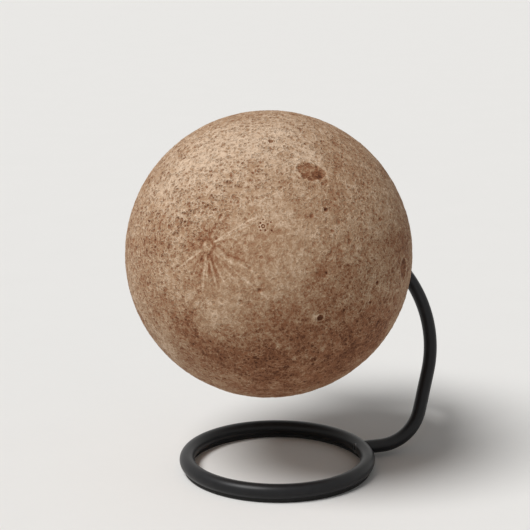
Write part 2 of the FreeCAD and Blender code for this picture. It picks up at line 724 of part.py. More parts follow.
def make_neck_gasket():
    gasket = turned("neck_gasket", [
        ("neck_radius", "neck_edge"), ("gasket_outer", "gasket_seat"),
        ("gasket_outer", "cap_seat"), ("neck_radius", "cap_seat"),
    ], arcs={0: ("zero", "zero")})
    return on_lamp_axis(gasket)


def slot_in(sketch):
    """The rounded slot for the charging socket."""
    half = size("slot_height") / 2
    reach = size("slot_width") / 2 - half
    up = size("fitting_offset")
    left, right = FreeCAD.Vector(-reach, up, 0), FreeCAD.Vector(reach, up, 0)
    rise = FreeCAD.Vector(0, half, 0)
    quarter = math.pi / 2
    flat = FreeCAD.Vector(0, 0, 1)
    top = sketch.addGeometry(Part.LineSegment(right + rise, left + rise), False)
    side = sketch.addGeometry(
        Part.ArcOfCircle(Part.Circle(left, flat, half), quarter, 3 * quarter), False)
    low = sketch.addGeometry(Part.LineSegment(left - rise, right - rise), False)
    far = sketch.addGeometry(
        Part.ArcOfCircle(Part.Circle(right, flat, half), -quarter, quarter), False)
    for first, one, second, other in ((top, 2, side, 1), (side, 2, low, 1),
                                      (low, 2, far, 1), (far, 2, top, 1)):
        sketch.addConstraint(Sketcher.Constraint("Tangent", first, one, second, other))
    sketch.addConstraint(Sketcher.Constraint("Horizontal", top))
    rules = (
        (Sketcher.Constraint("DistanceX", -1, 1, far, 3, reach),
         "(%s - %s) / 2" % (cell("slot_width"), cell("slot_height"))),
        (Sketcher.Constraint("DistanceX", -1, 1, side, 3, -reach),
         "(%s - %s) / 2" % (cell("slot_height"), cell("slot_width"))),
        (Sketcher.Constraint("DistanceY", -1, 1, far, 3, up), cell("fitting_offset")),
        (Sketcher.Constraint("Radius", far, half), cell("slot_height") + " / 2"),
    )
    for rule, formula in rules:
        index = sketch.addConstraint(rule)
        sketch.setExpression("Constraints[%d]" % index, formula)


def make_rear_cap():
    """The cap that closes the moon: plate, register ring, axle boss and board pillars."""
    cap = turned("cap_plate", [
        ("cap_bore", "cap_seat"), ("register_inner", "cap_seat"), ("register_inner", "neck_edge"),
        ("register_outer", "neck_edge"), ("register_outer", "cap_seat"),
        ("cap_radius", "cap_seat"), ("cap_radius", "cap_edge_start"),
        ("cap_edge_inner", "cap_face"), ("boss_foot", "cap_face"),
        ("boss_radius", "boss_foot_top"), ("boss_radius", "boss_face"),
        ("cap_bore", "boss_face"),
    ], arcs={6: ("cap_edge_inner", "cap_edge_start"), 8: ("boss_foot", "boss_foot_top")})
    through_pocket(cap, lambda s: circle_in(s, "zero", "-fitting_offset", "guide_radius"))
    through_pocket(cap, slot_in)
    through_pocket(cap, lambda s: circle_in(s, "-fitting_offset", "zero", "pipe_radius"))
    screw = through_pocket(cap, lambda s: circle_in(s, "-cap_screw_offset", "zero",
                                                    "cap_screw_hole"))
    one_for_each_screw(cap, screw)
    on_lamp_axis(cap)
    pillars = []
    for number, spot in enumerate(spots_round("fitting_offset", SCREWS)):
        pillar = turned("pillar_%d" % number, tube_outline(
            "board_screw_radius", "pillar_radius", "board_back", "cap_seat"))
        pillars.append(on_lamp_axis(pillar, *spot))
    sinks = []
    for number, spot in enumerate(spots_round("cap_screw_offset", SCREWS, FIRST_SCREW)):
        sunk = turned("screw_sink_%d" % number, screw_head_outline())
        sinks.append(on_lamp_axis(sunk, *spot))
    for number, spot in enumerate(spots_round("flange_screw_offset", SCREWS, FIRST_SCREW)):
        pilot = rod("axle_pilot_%d" % number, "axle_screw_radius", "axle_screw_length")
        on_lamp_axis(pilot, *spot)
        pilot.setExpression("Placement.Base.y", cell("axle_flange_front"))
        sinks.append(pilot)
    solid = joined("cap_solid", [cap] + pillars)
    return cut("rear_cap", solid, joined("cap_sinks", sinks))


def screw_head_outline():
    """The countersunk head of a cap screw."""
    return [("zero", "cap_screw_neck"), ("cap_screw_radius", "cap_screw_neck"),
            ("cap_screw_head", "cap_face"), ("zero", "cap_face")]


def make_cap_screws():
    screws = []
    spots = spots_round("cap_screw_offset", SCREWS, FIRST_SCREW)
    for number, (across, below) in enumerate(spots):
        screw = turned("cap_screw_%d" % number, [
            ("zero", "cap_screw_tip"), ("cap_screw_radius", "cap_screw_tip"),
            ("cap_screw_radius", "cap_screw_neck"), ("cap_screw_head", "cap_face"),
            ("zero", "cap_face"),
        ])
        on_lamp_axis(screw, across, below)
        mouth = FreeCAD.Vector(across - size("moon_side"), size("cap_face"),
                               size("moon_height") - below)
        key = hex_key("cap_screw_key_%d" % number, "cap_key_radius", "cap_key_depth",
                      facing(mouth, FreeCAD.Vector(0, -1, 0)))
        screws.append(cut("cap_screw_cut_%d" % number, screw, key))
    return grouped("cap_screws", screws)


# ---- axle and what is on it ----


def make_axle():
    """A shouldered pin with a flange under the cap and a threaded end behind the hub."""
    axle = turned("axle_turned_bar", [
        ("zero", "axle_flange_front"), ("axle_flange_radius", "axle_flange_front"),
        ("axle_flange_radius", "cap_seat"), ("axle_radius", "cap_seat"),
        ("axle_radius", "flat_back"), ("thread_radius", "flat_back"),
        ("thread_radius", "axle_tip_bevel"), ("axle_tip_radius", "axle_back"),
        ("zero", "axle_back"),
    ])
    on_lamp_axis(axle)
    holes = []
    for number, spot in enumerate(spots_round("flange_screw_offset", SCREWS, FIRST_SCREW)):
        hole = rod("axle_hole_%d" % number, "axle_screw_hole", "axle_flange")
        on_lamp_axis(hole, *spot)
        hole.setExpression("Placement.Base.y", cell("axle_flange_front"))
        holes.append(hole)
    return cut("axle", axle, joined("axle_holes", holes))


def make_axle_screws():
    screws = []
    for number, spot in enumerate(spots_round("flange_screw_offset", SCREWS, FIRST_SCREW)):
        screw = turned("axle_screw_%d" % number, [
            ("zero", "axle_screw_front"), ("axle_screw_head", "axle_screw_front"),
            ("axle_screw_head", "axle_flange_front"), ("axle_screw_radius", "axle_flange_front"),
            ("axle_screw_radius", "axle_screw_tip"), ("zero", "axle_screw_tip"),
        ])
        screws.append(on_lamp_axis(screw, *spot))
    return grouped("axle_screws", screws)


def make_axle_stack():
    """The washers, the lock nut and its cover."""
    thrust = turned("thrust_washer",
                    tube_outline("washer_bore", "washer_radius", "boss_face", "thrust_back"))
    flat = turned("flat_washer",
                  tube_outline("axle_radius", "washer_radius", "flat_front", "flat_back"))
    spring = turned("spring_washer", [
        ("spring_bore", "spring_eye_front"), ("spring_radius", "flat_back"),
        ("spring_radius", "spring_rim_back"), ("spring_bore", "spring_back"),
    ])
    for piece in (thrust, flat, spring):
        on_lamp_axis(piece)
    hexagon = doc.addObject("Part::Prism", "nut_hexagon")
    hexagon.Polygon = HEXAGON_SIDES
    tie(hexagon, Circumradius="nut_corner", Height="nut_height")
    on_lamp_axis(hexagon)
    tie(hexagon, **{"Placement.Base.y": "spring_back"})
    collar = on_lamp_axis(turned("nut_ring", tube_outline(
        "thread_radius", "nut_collar_radius", "nut_back", "nut_collar_back")))
    bore = rod("nut_bore", "thread_radius", "nut_height")
    on_lamp_axis(bore)
    tie(bore, **{"Placement.Base.y": "spring_back"})
    nut = joined("lock_nut", [cut("nut_hexagon_bored", hexagon, bore), collar])
    cover = turned("axle_cover", [
        ("cover_inner", "cover_rim"), ("cover_outer", "cover_rim"),
        ("cover_outer", "cover_shoulder"), ("cover_flat", "cover_back"), ("zero", "cover_back"),
        ("zero", "cover_ceiling"), ("cover_flat", "cover_ceiling"),
        ("cover_inner", "cover_shoulder"),
    ], arcs={2: ("cover_flat", "cover_shoulder"), 6: ("cover_flat", "cover_shoulder")})
    return [thrust, flat, spring, nut, on_lamp_axis(cover)]


# ---- electronics and light ----


def make_control_board():
    board = turned("control_board", [
        ("zero", "board_front"), ("board_radius", "board_front"),
        ("board_radius", "board_back"), ("zero", "board_back"),
    ])
    hole = through_pocket(board, lambda s: circle_in(s, "fitting_offset", "zero", "screw_hole"))
    one_for_each_screw(board, hole)
    return on_lamp_axis(board)


def block(label, width, height, low, high, across=0.0, below=0.0):
    """A box centred on a line along the axle, from one station to another."""
    piece = doc.addObject("Part::Box", label)
    tie(piece, Length=width, Width=height)
    piece.setExpression("Height", "%s - %s" % (cell(high), cell(low)))
    on_lamp_axis(piece)
    piece.setExpression("Placement.Base.x",
                        "%r - %s - %s / 2" % (across, cell("moon_side"), cell(width)))
    piece.setExpression("Placement.Base.y", cell(low))
    piece.setExpression("Placement.Base.z",
                        "%s - %r + %s / 2" % (cell("moon_height"), below, cell(height)))
    return piece


def make_charging_socket():
    """A socket with an open mouth at the cap's face and a contact tongue inside."""
    down = size("fitting_offset")
    ends = []
    for side in (-1, 1):
        reach = side * (size("socket_width") - size("socket_height")) / 2
        end = doc.addObject("Part::Cylinder", "socket_end_%d" % (side + 1))
        end.setExpression("Radius", cell("socket_height") + " / 2")
        end.setExpression("Height", "%s - %s" % (cell("socket_back"), cell("board_back")))
        on_lamp_axis(end, reach, down)
        end.setExpression("Placement.Base.y", cell("board_back"))
        hollow = doc.addObject("Part::Cylinder", "socket_hollow_end_%d" % (side + 1))
        hollow.setExpression("Radius", "%s / 2 - %s" % (cell("socket_height"),
                                                        cell("socket_wall")))
        hollow.setExpression("Height", cell("socket_depth"))
        on_lamp_axis(hollow, reach, down)
        hollow.setExpression("Placement.Base.y", "%s - %s" % (cell("socket_back"),
                                                              cell("socket_depth")))
        ends.append((end, hollow))
    wide = size("socket_width") - size("socket_height")
    body = doc.addObject("Part::Box", "socket_body")
    body.setExpression("Length", "%s - %s" % (cell("socket_width"), cell("socket_height")))
    tie(body, Width="socket_height")
    body.setExpression("Height", "%s - %s" % (cell("socket_back"), cell("board_back")))
    on_lamp_axis(body, -wide / 2, down - size("socket_height") / 2)
    body.setExpression("Placement.Base.y", cell("board_back"))
    inside = doc.addObject("Part::Box", "socket_inside")
    inside.setExpression("Length", "%s - %s" % (cell("socket_width"), cell("socket_height")))
    inside.setExpression("Width", "%s - 2 * %s" % (cell("socket_height"), cell("socket_wall")))
    inside.setExpression("Height", cell("socket_depth"))
    on_lamp_axis(inside, -wide / 2, down - size("socket_height") / 2 + size("socket_wall"))
    inside.setExpression("Placement.Base.y", "%s - %s" % (cell("socket_back"),
                                                          cell("socket_depth")))
    shell = joined("socket_shell", [body] + [end for end, _ in ends])
    hollow = joined("socket_hollow", [inside] + [inner for _, inner in ends])
    tongue = doc.addObject("Part::Box", "socket_tongue")
    tie(tongue, Length="tongue_width", Width="tongue_height")
    tongue.setExpression("Height", "%s - %s" % (cell("socket_depth"), cell("tongue_sunk")))
    on_lamp_axis(tongue, -size("tongue_width") / 2, down - size("tongue_height") / 2)
    tongue.setExpression("Placement.Base.y", "%s - %s" % (cell("socket_back"),
                                                          cell("socket_depth")))
    return joined("charging_socket", [cut("socket_open", shell, hollow), tongue])


def make_tactile_switch():
    up = -size("fitting_offset")
    case = block("switch_case", "switch_width", "switch_width", "board_back", "switch_back",
                 0.0, up)
    plunger = turned("switch_plunger", [
        ("zero", "switch_back"), ("plunger_radius", "switch_back"),
        ("plunger_radius", "plunger_back"), ("zero", "plunger_back"),
    ])
    on_lamp_axis(plunger, 0.0, up)
    return joined("tactile_switch", [case, plunger])


def make_power_button():
    """A round push button, kept in by a flange, with a stem that meets the switch."""
    button = turned("power_button", [
        ("zero", "button_stem_front"), ("button_stem_radius", "button_stem_front"),
        ("button_stem_radius", "button_flange_front"),
        ("button_flange_radius", "button_flange_front"),
        ("button_flange_radius", "button_flange_back"), ("button_radius", "button_flange_back"),
        ("button_radius", "button_round_start"), ("button_round_inner", "button_back"),
        ("zero", "button_back"),
    ], arcs={6: ("button_round_inner", "button_round_start")})
    return on_lamp_axis(button, 0.0, -size("fitting_offset"))


def make_light_pipe():
    pipe = turned("light_pipe", [
        ("zero", "board_back"), ("pipe_radius", "board_back"),
        ("pipe_radius", "cap_face"), ("zero", "cap_face"),
    ])
    return on_lamp_axis(pipe, -size("fitting_offset"), 0.0)


def make_led_column():
    """A flanged tube that carries the light in the middle of the moon and holds the cell."""
    column = turned("led_column", [
        ("column_inner", "sink_back"), ("column_outer", "sink_back"),
        ("column_outer", "column_flange_front"), ("column_flange_radius", "column_flange_front"),
        ("column_flange_radius", "board_front"), ("column_inner", "board_front"),
    ])
    hole = through_pocket(column, lambda s: circle_in(s, "fitting_offset", "zero", "screw_hole"))
    one_for_each_screw(column, hole)
    return on_lamp_axis(column)


def make_board_screws():
    screws = []
    for number, spot in enumerate(spots_round("fitting_offset", SCREWS)):
        screw = turned("board_screw_%d" % number, [
            ("zero", "board_screw_front"), ("board_screw_head", "board_screw_front"),
            ("board_screw_head", "column_flange_front"),
            ("board_screw_radius", "column_flange_front"),
            ("board_screw_radius", "board_screw_tip"), ("zero", "board_screw_tip"),
        ])
        screws.append(on_lamp_axis(screw, *spot))
    return grouped("board_screws", screws)


def make_battery():
    cell_body = on_lamp_axis(turned("battery", [
        ("zero", "battery_front"), ("battery_radius", "battery_front"),
        ("battery_radius", "battery_back"), ("zero", "battery_back"),
    ]))
    spacers = []
    for number, start in enumerate((
        cell("battery_front") + " + " + cell("spacer_inset"),
        "%s - %s - %s" % (cell("battery_back"), cell("spacer_inset"), cell("spacer_height")),
    )):
        outer = rod("spacer_outside_%d" % number, "column_inner", "spacer_height")
        inner = rod("spacer_inside_%d" % number, "battery_radius", "spacer_height")
        for piece in (outer, inner):
            on_lamp_axis(piece)
            piece.setExpression("Placement.Base.y", start)
        spacers.append(cut("spacer_%d" % number, outer, inner))
    pads = []
    for number, start in enumerate(("spigot_back", "battery_back")):
        pad = rod("pad_%d" % number, "battery_radius", "pad_thickness")
        on_lamp_axis(pad)
        tie(pad, **{"Placement.Base.y": start})
        pads.append(pad)
    return [cell_body, grouped("battery_spacers", spacers), grouped("battery_pads", pads)]


def make_light_source():
    """The heat sink, the light-source board, its chips and the diffuser dome."""
    sink = turned("heat_sink", [
        ("zero", "sink_front"), ("sink_radius", "sink_front"), ("sink_radius", "sink_back"),
        ("column_inner", "sink_back"), ("column_inner", "spigot_back"), ("zero", "spigot_back"),
    ])
    board = turned("led_board", [
        ("zero", "led_board_front"), ("led_board_radius", "led_board_front"),
        ("led_board_radius", "sink_front"), ("zero", "sink_front"),
    ])
    chips = [block("chip_middle", "chip_width", "chip_width", "chip_front", "led_board_front")]
    for number, spot in enumerate(spots_round("chip_offset", OUTER_CHIPS)):
        chips.append(block("chip_%d" % number, "chip_width", "chip_width", "chip_front",
                           "led_board_front", *spot))
    dome = turned("diffuser", [
        ("sink_radius", "sink_back"), ("diffuser_outer", "sink_back"),
        ("diffuser_outer", "dome_middle"), ("zero", "dome_tip"), ("zero", "dome_inner_tip"),
        ("sink_radius", "dome_middle"),
    ], arcs={2: ("zero", "dome_middle"), 4: ("zero", "dome_middle")})
    pieces = [on_lamp_axis(piece) for piece in (sink, board, dome)]
    return pieces + [grouped("led_chips", chips)]


def solid_problems(piece):
    """What is wrong with a piece's shape, as a list of words."""
    shape = piece.Shape
    if shape.isNull():
        return ["has no shape"]
    found = []
    if not shape.isValid():
        found.append("isn't valid")
    if not shape.Solids:
        found.append("has no solid")
    return found


fill_sheet()
foot_ring = make_foot_ring()
NODES = [
    foot_ring, make_base_ring(foot_ring), make_arm(foot_ring), make_arm_screw(), make_hub(),
    make_hub_grub_screw(), make_moon_shell(), make_neck_ring(), make_neck_gasket(),
    make_rear_cap(), make_cap_screws(), make_axle(), make_axle_screws(), make_control_board(),
    make_charging_socket(), make_tactile_switch(), make_power_button(), make_light_pipe(),
    make_led_column(), make_board_screws(),
]
NODES += make_bushings() + make_axle_stack() + make_battery() + make_light_source()
doc.recompute()

faults = [thing.Label + " " + " ".join(thing.State) for thing in doc.Objects
          if "Invalid" in thing.State or "Error" in thing.State]
for node in NODES:
    faults += [node.Label + " " + words for words in solid_problems(node)]
if faults:
    raise RuntimeError("these objects failed: " + "; ".join(faults))

os.makedirs("parts", exist_ok=True)
for node in NODES:
    node.Shape.exportStep("parts/%s.step" % node.Label)
    print("%-18s %2d solids %10.1f mm3" % (node.Label, len(node.Shape.Solids), node.Shape.Volume))
print("%d nodes" % len(NODES))
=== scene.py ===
import math
import random

import bmesh
import bpy
import numpy as np
from bpy.props import FloatProperty, FloatVectorProperty, IntProperty, PointerProperty
from mathutils import Matrix, Vector, noise
from mathutils.kdtree import KDTree


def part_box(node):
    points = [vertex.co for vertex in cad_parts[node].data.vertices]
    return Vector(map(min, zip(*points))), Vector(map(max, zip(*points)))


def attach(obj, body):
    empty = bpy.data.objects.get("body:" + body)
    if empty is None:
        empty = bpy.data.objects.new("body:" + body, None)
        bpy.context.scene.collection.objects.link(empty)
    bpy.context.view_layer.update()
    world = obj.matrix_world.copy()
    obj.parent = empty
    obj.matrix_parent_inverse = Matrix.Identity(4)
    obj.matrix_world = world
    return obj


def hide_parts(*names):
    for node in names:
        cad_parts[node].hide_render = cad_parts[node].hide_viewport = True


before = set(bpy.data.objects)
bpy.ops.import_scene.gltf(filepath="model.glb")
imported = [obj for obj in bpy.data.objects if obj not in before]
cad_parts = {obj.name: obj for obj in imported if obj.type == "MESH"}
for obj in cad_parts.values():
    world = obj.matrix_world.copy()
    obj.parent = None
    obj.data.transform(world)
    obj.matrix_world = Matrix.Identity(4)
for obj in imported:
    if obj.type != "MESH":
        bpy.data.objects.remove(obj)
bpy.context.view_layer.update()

bl_info = {
    "name": "Moon lamp on a ring stand",
    "version": (1, 0, 0),
    "blender": (4, 5, 0),
    "location": "View3D > Sidebar > Moon lamp",
    "description": "Relief and finishes of a moon lamp on a bent-bar stand",
    "category": "Object",
}

MM = 0.001

# ---- places taken from the frame ----

AXLE_LOW, AXLE_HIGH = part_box("axle")
SHELL_LOW, SHELL_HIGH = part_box("moon_shell")
GASKET_LOW, GASKET_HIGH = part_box("neck_gasket")
AXLE_X = (AXLE_LOW.x + AXLE_HIGH.x) / 2
AXLE_Z = (AXLE_LOW.z + AXLE_HIGH.z) / 2
MOON_RADIUS = SHELL_HIGH.z - AXLE_Z
MOON_MIDDLE = Vector((AXLE_X, SHELL_LOW.y + MOON_RADIUS, AXLE_Z))
NECK_REACH = SHELL_HIGH.y - MOON_MIDDLE.y
NECK_RADIUS = math.sqrt(MOON_RADIUS ** 2 - NECK_REACH ** 2)
GASKET_RADIUS = (GASKET_HIGH.x - GASKET_LOW.x) / 2

# Round the gasket the ball stays smooth by a margin, and its relief sets in over a length.
SEAT_MARGIN, SEAT_FADE = 1.5 * MM, 4 * MM
# Points of the opening's rim that are closer than this are joined.
RIM_MERGE = 0.2 * MM
# Steps of the inner wall from the sleeve to the front, the last two closed by a fan.
INNER_STEPS = 48

# ---- the face of the moon ----
# Turn is measured from the front towards +X and tilt above the axle, both in degrees.

# Distinct craters: turn, tilt, radius and depth in millimetres, darkening of the floor.
CRATERS = [
    (24.6, 28.7, 1.3, 0.42, 0.44),
    (-24.9, 18.3, 1.0, 0.20, 0.16),
    (19.9, -11.9, 1.8, 0.60, 0.62),
    (45.4, -1.7, 1.3, 0.40, 0.40),
    (40.2, 47.5, 1.2, 0.25, 0.20),
    (12.5, 33.0, 1.0, 0.20, 0.14),
    (36.0, 16.0, 1.3, 0.22, 0.12),
    (52.0, 22.0, 1.5, 0.25, 0.14),
    (33.5, -24.0, 1.6, 0.30, 0.20),
    (6.0, -36.0, 1.8, 0.30, 0.22),
    (20.2, -31.8, 1.9, 0.30, 0.22),
    (-12.0, -20.5, 1.2, 0.25, 0.18),
    (-43.0, -6.0, 1.4, 0.25, 0.14),
    (-30.0, -30.0, 1.6, 0.28, 0.18),
    (-70.0, -22.0, 5.0, 0.35, 0.08),
    (10.0, -62.0, 5.5, 0.35, 0.08),
    (-60.0, 48.0, 4.0, 0.35, 0.06),
    (88.0, -42.0, 5.5, 0.40, 0.10),
    (118.0, 24.0, 5.0, 0.40, 0.14),
    (-116.0, 30.0, 6.0, 0.40, 0.14),
    (-132.0, -34.0, 5.0, 0.35, 0.12),
    (160.0, 58.0, 5.5, 0.40, 0.10),
]

# Shape of a crater in shares of its radius and depth: how far it reaches, place, width and
# height of its rim, paleness of the rim and spread of the dark floor.
CRATER_REACH, RIM_PLACE, RIM_WIDTH, RIM_HEIGHT = 1.7, 1.08, 0.22, 0.30
RIM_PALE, DARK_SPREAD = 0.50, 1.6

# Ring of small pits: turn and tilt of its middle, then bearing in degrees and distance in
# millimetres of each pit. Middle pit, mound in it and pits round it: radius and depth in
# millimetres, darkening.
PIT_RING = (-2.2, 23.3)
RING_MIDDLE, RING_MOUND, RING_PIT = (1.2, 0.22, 0.46), (0.6, -0.14, -0.60), (0.65, 0.24, 0.42)
RING_PITS = [
    (0.0, 3.3), (62.0, 4.2), (64.0, 2.4), (116.0, 4.7), (150.0, 2.3), (210.0, 2.4),
    (256.0, 1.8), (320.0, 2.0),
]

# Ragged dark floors: turn, tilt, half length and half width in millimetres, bearing of the
# length in degrees, raggedness of the edge in millimetres, darkening and depth in millimetres.
# The slope at their edge and the bank outside it have a width and a distance in millimetres.
# The bank's height is a share of the depth, and its paleness a share of the darkening, which
# itself varies over the floor by FLOOR_UNEVEN.
FLOOR_EDGE, BANK_PLACE, BANK_WIDTH = 0.9, 0.9, 0.55
BANK_HEIGHT, BANK_PALE, FLOOR_UNEVEN = 0.35, 0.60, 0.25
FLOORS = [
    (22.8, 44.8, 7.0, 5.2, 112.0, 1.3, 0.30, 0.26),
    (26.6, 41.6, 4.4, 2.6, 140.0, 1.2, 0.14, 0.10),
    (1.8, 61.1, 1.8, 1.1, 95.0, 0.8, 0.50, 0.20),
    (65.3, 0.1, 5.6, 3.6, 0.0, 0.9, 0.30, 0.30),
    (59.0, -10.0, 3.0, 1.8, 20.0, 0.9, 0.18, 0.15),
    (128.0, 8.0, 13.0, 8.0, 70.0, 3.0, 0.16, 0.10),
    (-138.0, 12.0, 15.0, 9.0, 100.0, 3.0, 0.16, 0.10),
    (-96.0, -30.0, 9.0, 6.0, 40.0, 2.5, 0.14, 0.10),
]

# Where the mesh is divided once more: turn, tilt and reach in millimetres.
FINE_GROUND = [(-23.9, 9.0, 34.0), (24.0, 43.0, 12.0), (-2.2, 23.3, 6.0), (19.6, -11.8, 5.0)]

# Soft patches: turn, tilt, spread in millimetres, how much paler (or darker, below zero). Some
# are painted light and shade, as noted beside them.
PATCHES_AND_PAINTED_LIGHT = [
    (-1.4, 20.0, 24.0, 0.08),
    (-18.0, -8.0, 10.0, 0.12),
    (-48.0, 45.0, 26.0, 0.17),
    (-4.0, 68.0, 24.0, 0.17),
    (24.0, 50.0, 8.0, 0.08),
    # A painted highlight on the left lip of the low crater, the side that faces the key light.
    (17.2, -11.0, 3.0, 0.24),
    # These three pale patches along the left and lower-left edge are painted highlights of a rim
    # light on the limb.
    (-68.0, 2.0, 7.0, 0.08),
    (-72.0, -14.0, 8.0, 0.12),
    (-56.0, -31.0, 11.0, 0.20),
    (-36.1, -4.3, 1.2, 0.30),
    (-31.3, -4.9, 1.5, 0.28),
    (-27.8, -6.9, 1.6, 0.24),
    (-22.9, -6.4, 1.2, 0.26),
    (-22.9, -15.5, 8.0, 0.10),
    (3.3, -23.7, 1.8, 0.30),
    (8.0, -25.0, 1.4, 0.22),
    (11.3, -30.4, 1.5, 0.30),
    (18.0, -22.5, 1.2, 0.22),
    (23.3, -26.2, 1.3, 0.34),
    # A darker band just inside the left edge: painted shade between the rim light on the edge and
    # the lit face.
    (-52.0, 14.0, 12.0, -0.10),
    (18.7, 6.6, 4.5, -0.22),
    (29.0, 4.0, 12.0, -0.14),
    # The next eight darker patches, below the middle and towards the lower right, are partly
    # darker ground of the print and partly painted shade where the key light falls off.
    (12.0, -16.0, 15.0, -0.12),
    (-33.0, -21.0, 14.0, -0.20),
    (-19.0, -30.0, 14.0, -0.20),
    (-1.0, -27.0, 16.0, -0.20),
    (31.0, -16.0, 17.0, -0.22),
    (51.0, -25.0, 20.0, -0.32),
    (30.0, -42.0, 22.0, -0.20),
    (0.0, -52.0, 26.0, -0.24),
    (66.0, 8.0, 14.0, -0.18),
    (105.0, -10.0, 26.0, -0.14),
    (-110.0, -5.0, 24.0, -0.12),
    (150.0, 20.0, 20.0, -0.10),
    (-150.0, 40.0, 24.0, 0.08),
]

# Tone and roughness of the ground before patches, and the least roughness.
MEAN_TONE, MEAN_ROUGHNESS, LEAST_ROUGHNESS = 0.53, 0.45, 0.05

# Widths of the swells, the hills and the grit of the ground, then their heights in millimetres,
# with what rough ground adds to the grit. Then how much swells and hills pale the ground, and
# the share of the grit in the ragged edges.
SWELLS, HILLS, GRIT = 24 * MM, 6 * MM, 1.7 * MM
SWELL_HEIGHT, HILL_HEIGHT, GRIT_HEIGHT, GRIT_HEIGHT_ROUGH = 0.07, 0.13, 0.04, 0.17
SWELL_PALE, HILL_PALE = 0.10, 0.08
GRIT_IN_EDGES = 0.6

# Scattered pits, in millimetres: smallest radius, its random part and how steeply that thins
# out, largest radius on smooth ground and what rough ground adds, shallowest depth and its
# random part. Then their darkening.
PIT_RADIUS, PIT_GROWTH, PIT_THINNING = 0.65, 0.35, 3.2
PIT_LARGEST, PIT_LARGEST_ROUGH = 0.9, 1.9
PIT_DEPTH, PIT_DEEPENING = 0.12, 0.14
PIT_DARK = 0.12

# Rough ground: turn, tilt, spread in millimetres, how much rougher (or smoother, below zero).
ROUGH_GROUND = [
    (-45.0, 38.0, 42.0, 0.70),
    (-5.0, 66.0, 30.0, 0.40),
    (-1.0, -30.0, 30.0, 0.12),
    (40.0, -8.0, 30.0, 0.20),
    (-1.4, 14.0, 24.0, -0.45),
    (-18.0, -8.0, 12.0, -0.25),
    (-23.9, 10.0, 13.0, -0.34),
    (23.0, 44.5, 5.0, -0.40),
    (120.0, 10.0, 60.0, 0.40),
    (-130.0, 0.0, 60.0, 0.40),
]

# Rayed crater: turn and tilt, then radius and paleness of its middle, then distance, width and
# paleness (or darkening, below zero) of the rings round it. Lengths are in millimetres.
RAY_CRATER = (-23.9, 15.0)
RAY_MIDDLE, RAY_MIDDLE_PALE = 1.3, 0.05
RAY_RINGS = [(1.9, 0.5, 0.16), (3.4, 0.9, -0.14), (0.0, 12.0, -0.07)]

# Brown wisps round it: reach, middle and width of their belt and length in millimetres, how
# closely they stand, least noise that shows one, and darkening.
WISP_REACH, WISP_BELT, WISP_BELT_WIDTH, WISP_LENGTH = 20, 8.0, 5.0, 5
WISP_CROWDING, WISP_START, WISP_DARK = 7, 0.05, 0.45

# Its streaks: bearing from upwards towards +X in degrees, start, end and width in millimetres,
# and how much paler (or darker, below zero). They set in and fade out over these lengths.
STREAK_ONSET, STREAK_FADE = 1.5, 5.0
STREAKS = [
    (184.0, 4.0, 24.0, 0.55, 0.30), (177.0, 6.0, 20.0, 0.40, 0.18),
    (163.0, 6.0, 23.0, 0.50, 0.28), (150.0, 8.0, 23.0, 0.40, 0.24),
    (136.0, 3.0, 28.0, 0.40, 0.18), (126.0, 3.0, 42.0, 0.40, 0.20),
    (117.0, 4.0, 20.0, 1.10, 0.20), (113.0, 16.0, 30.0, 0.45, 0.20),
    (58.0, 3.0, 26.0, 0.38, 0.28), (53.0, 3.0, 30.0, 0.38, 0.26),
    (21.0, 3.0, 12.0, 0.40, 0.14), (232.0, 3.0, 24.0, 0.50, 0.28),
    (243.0, 3.0, 14.0, 0.45, 0.20), (205.0, 8.0, 20.0, 0.40, 0.20),
    (282.0, 3.0, 13.0, 0.50, 0.16), (338.0, 3.0, 11.0, 0.45, 0.14),
    (208.0, 5.0, 9.5, 1.00, -0.34), (157.0, 5.0, 13.0, 0.80, -0.32),
    (216.0, 11.0, 16.0, 0.90, -0.22), (171.0, 8.0, 15.0, 0.60, -0.22),
    (11.0, 5.0, 8.5, 0.90, -0.30), (16.0, 10.0, 21.0, 0.55, -0.24),
    (27.0, 10.0, 19.0, 0.50, -0.20), (106.0, 10.0, 23.0, 0.60, -0.24),
    (127.0, 9.0, 18.0, 0.50, -0.20), (76.0, 13.0, 19.0, 0.60, -0.16),
    (262.0, 6.0, 11.0, 0.90, -0.18), (300.0, 5.0, 10.0, 0.90, -0.18),
    (192.0, 10.0, 17.0, 0.60, -0.20), (226.0, 7.0, 12.0, 0.60, -0.18),
]


def towards(turn, tilt):
    """A unit vector from the middle of the moon."""
    t, e = math.radians(turn), math.radians(tilt)
    return np.array((math.cos(e) * math.sin(t), -math.cos(e) * math.cos(t), math.sin(e)))


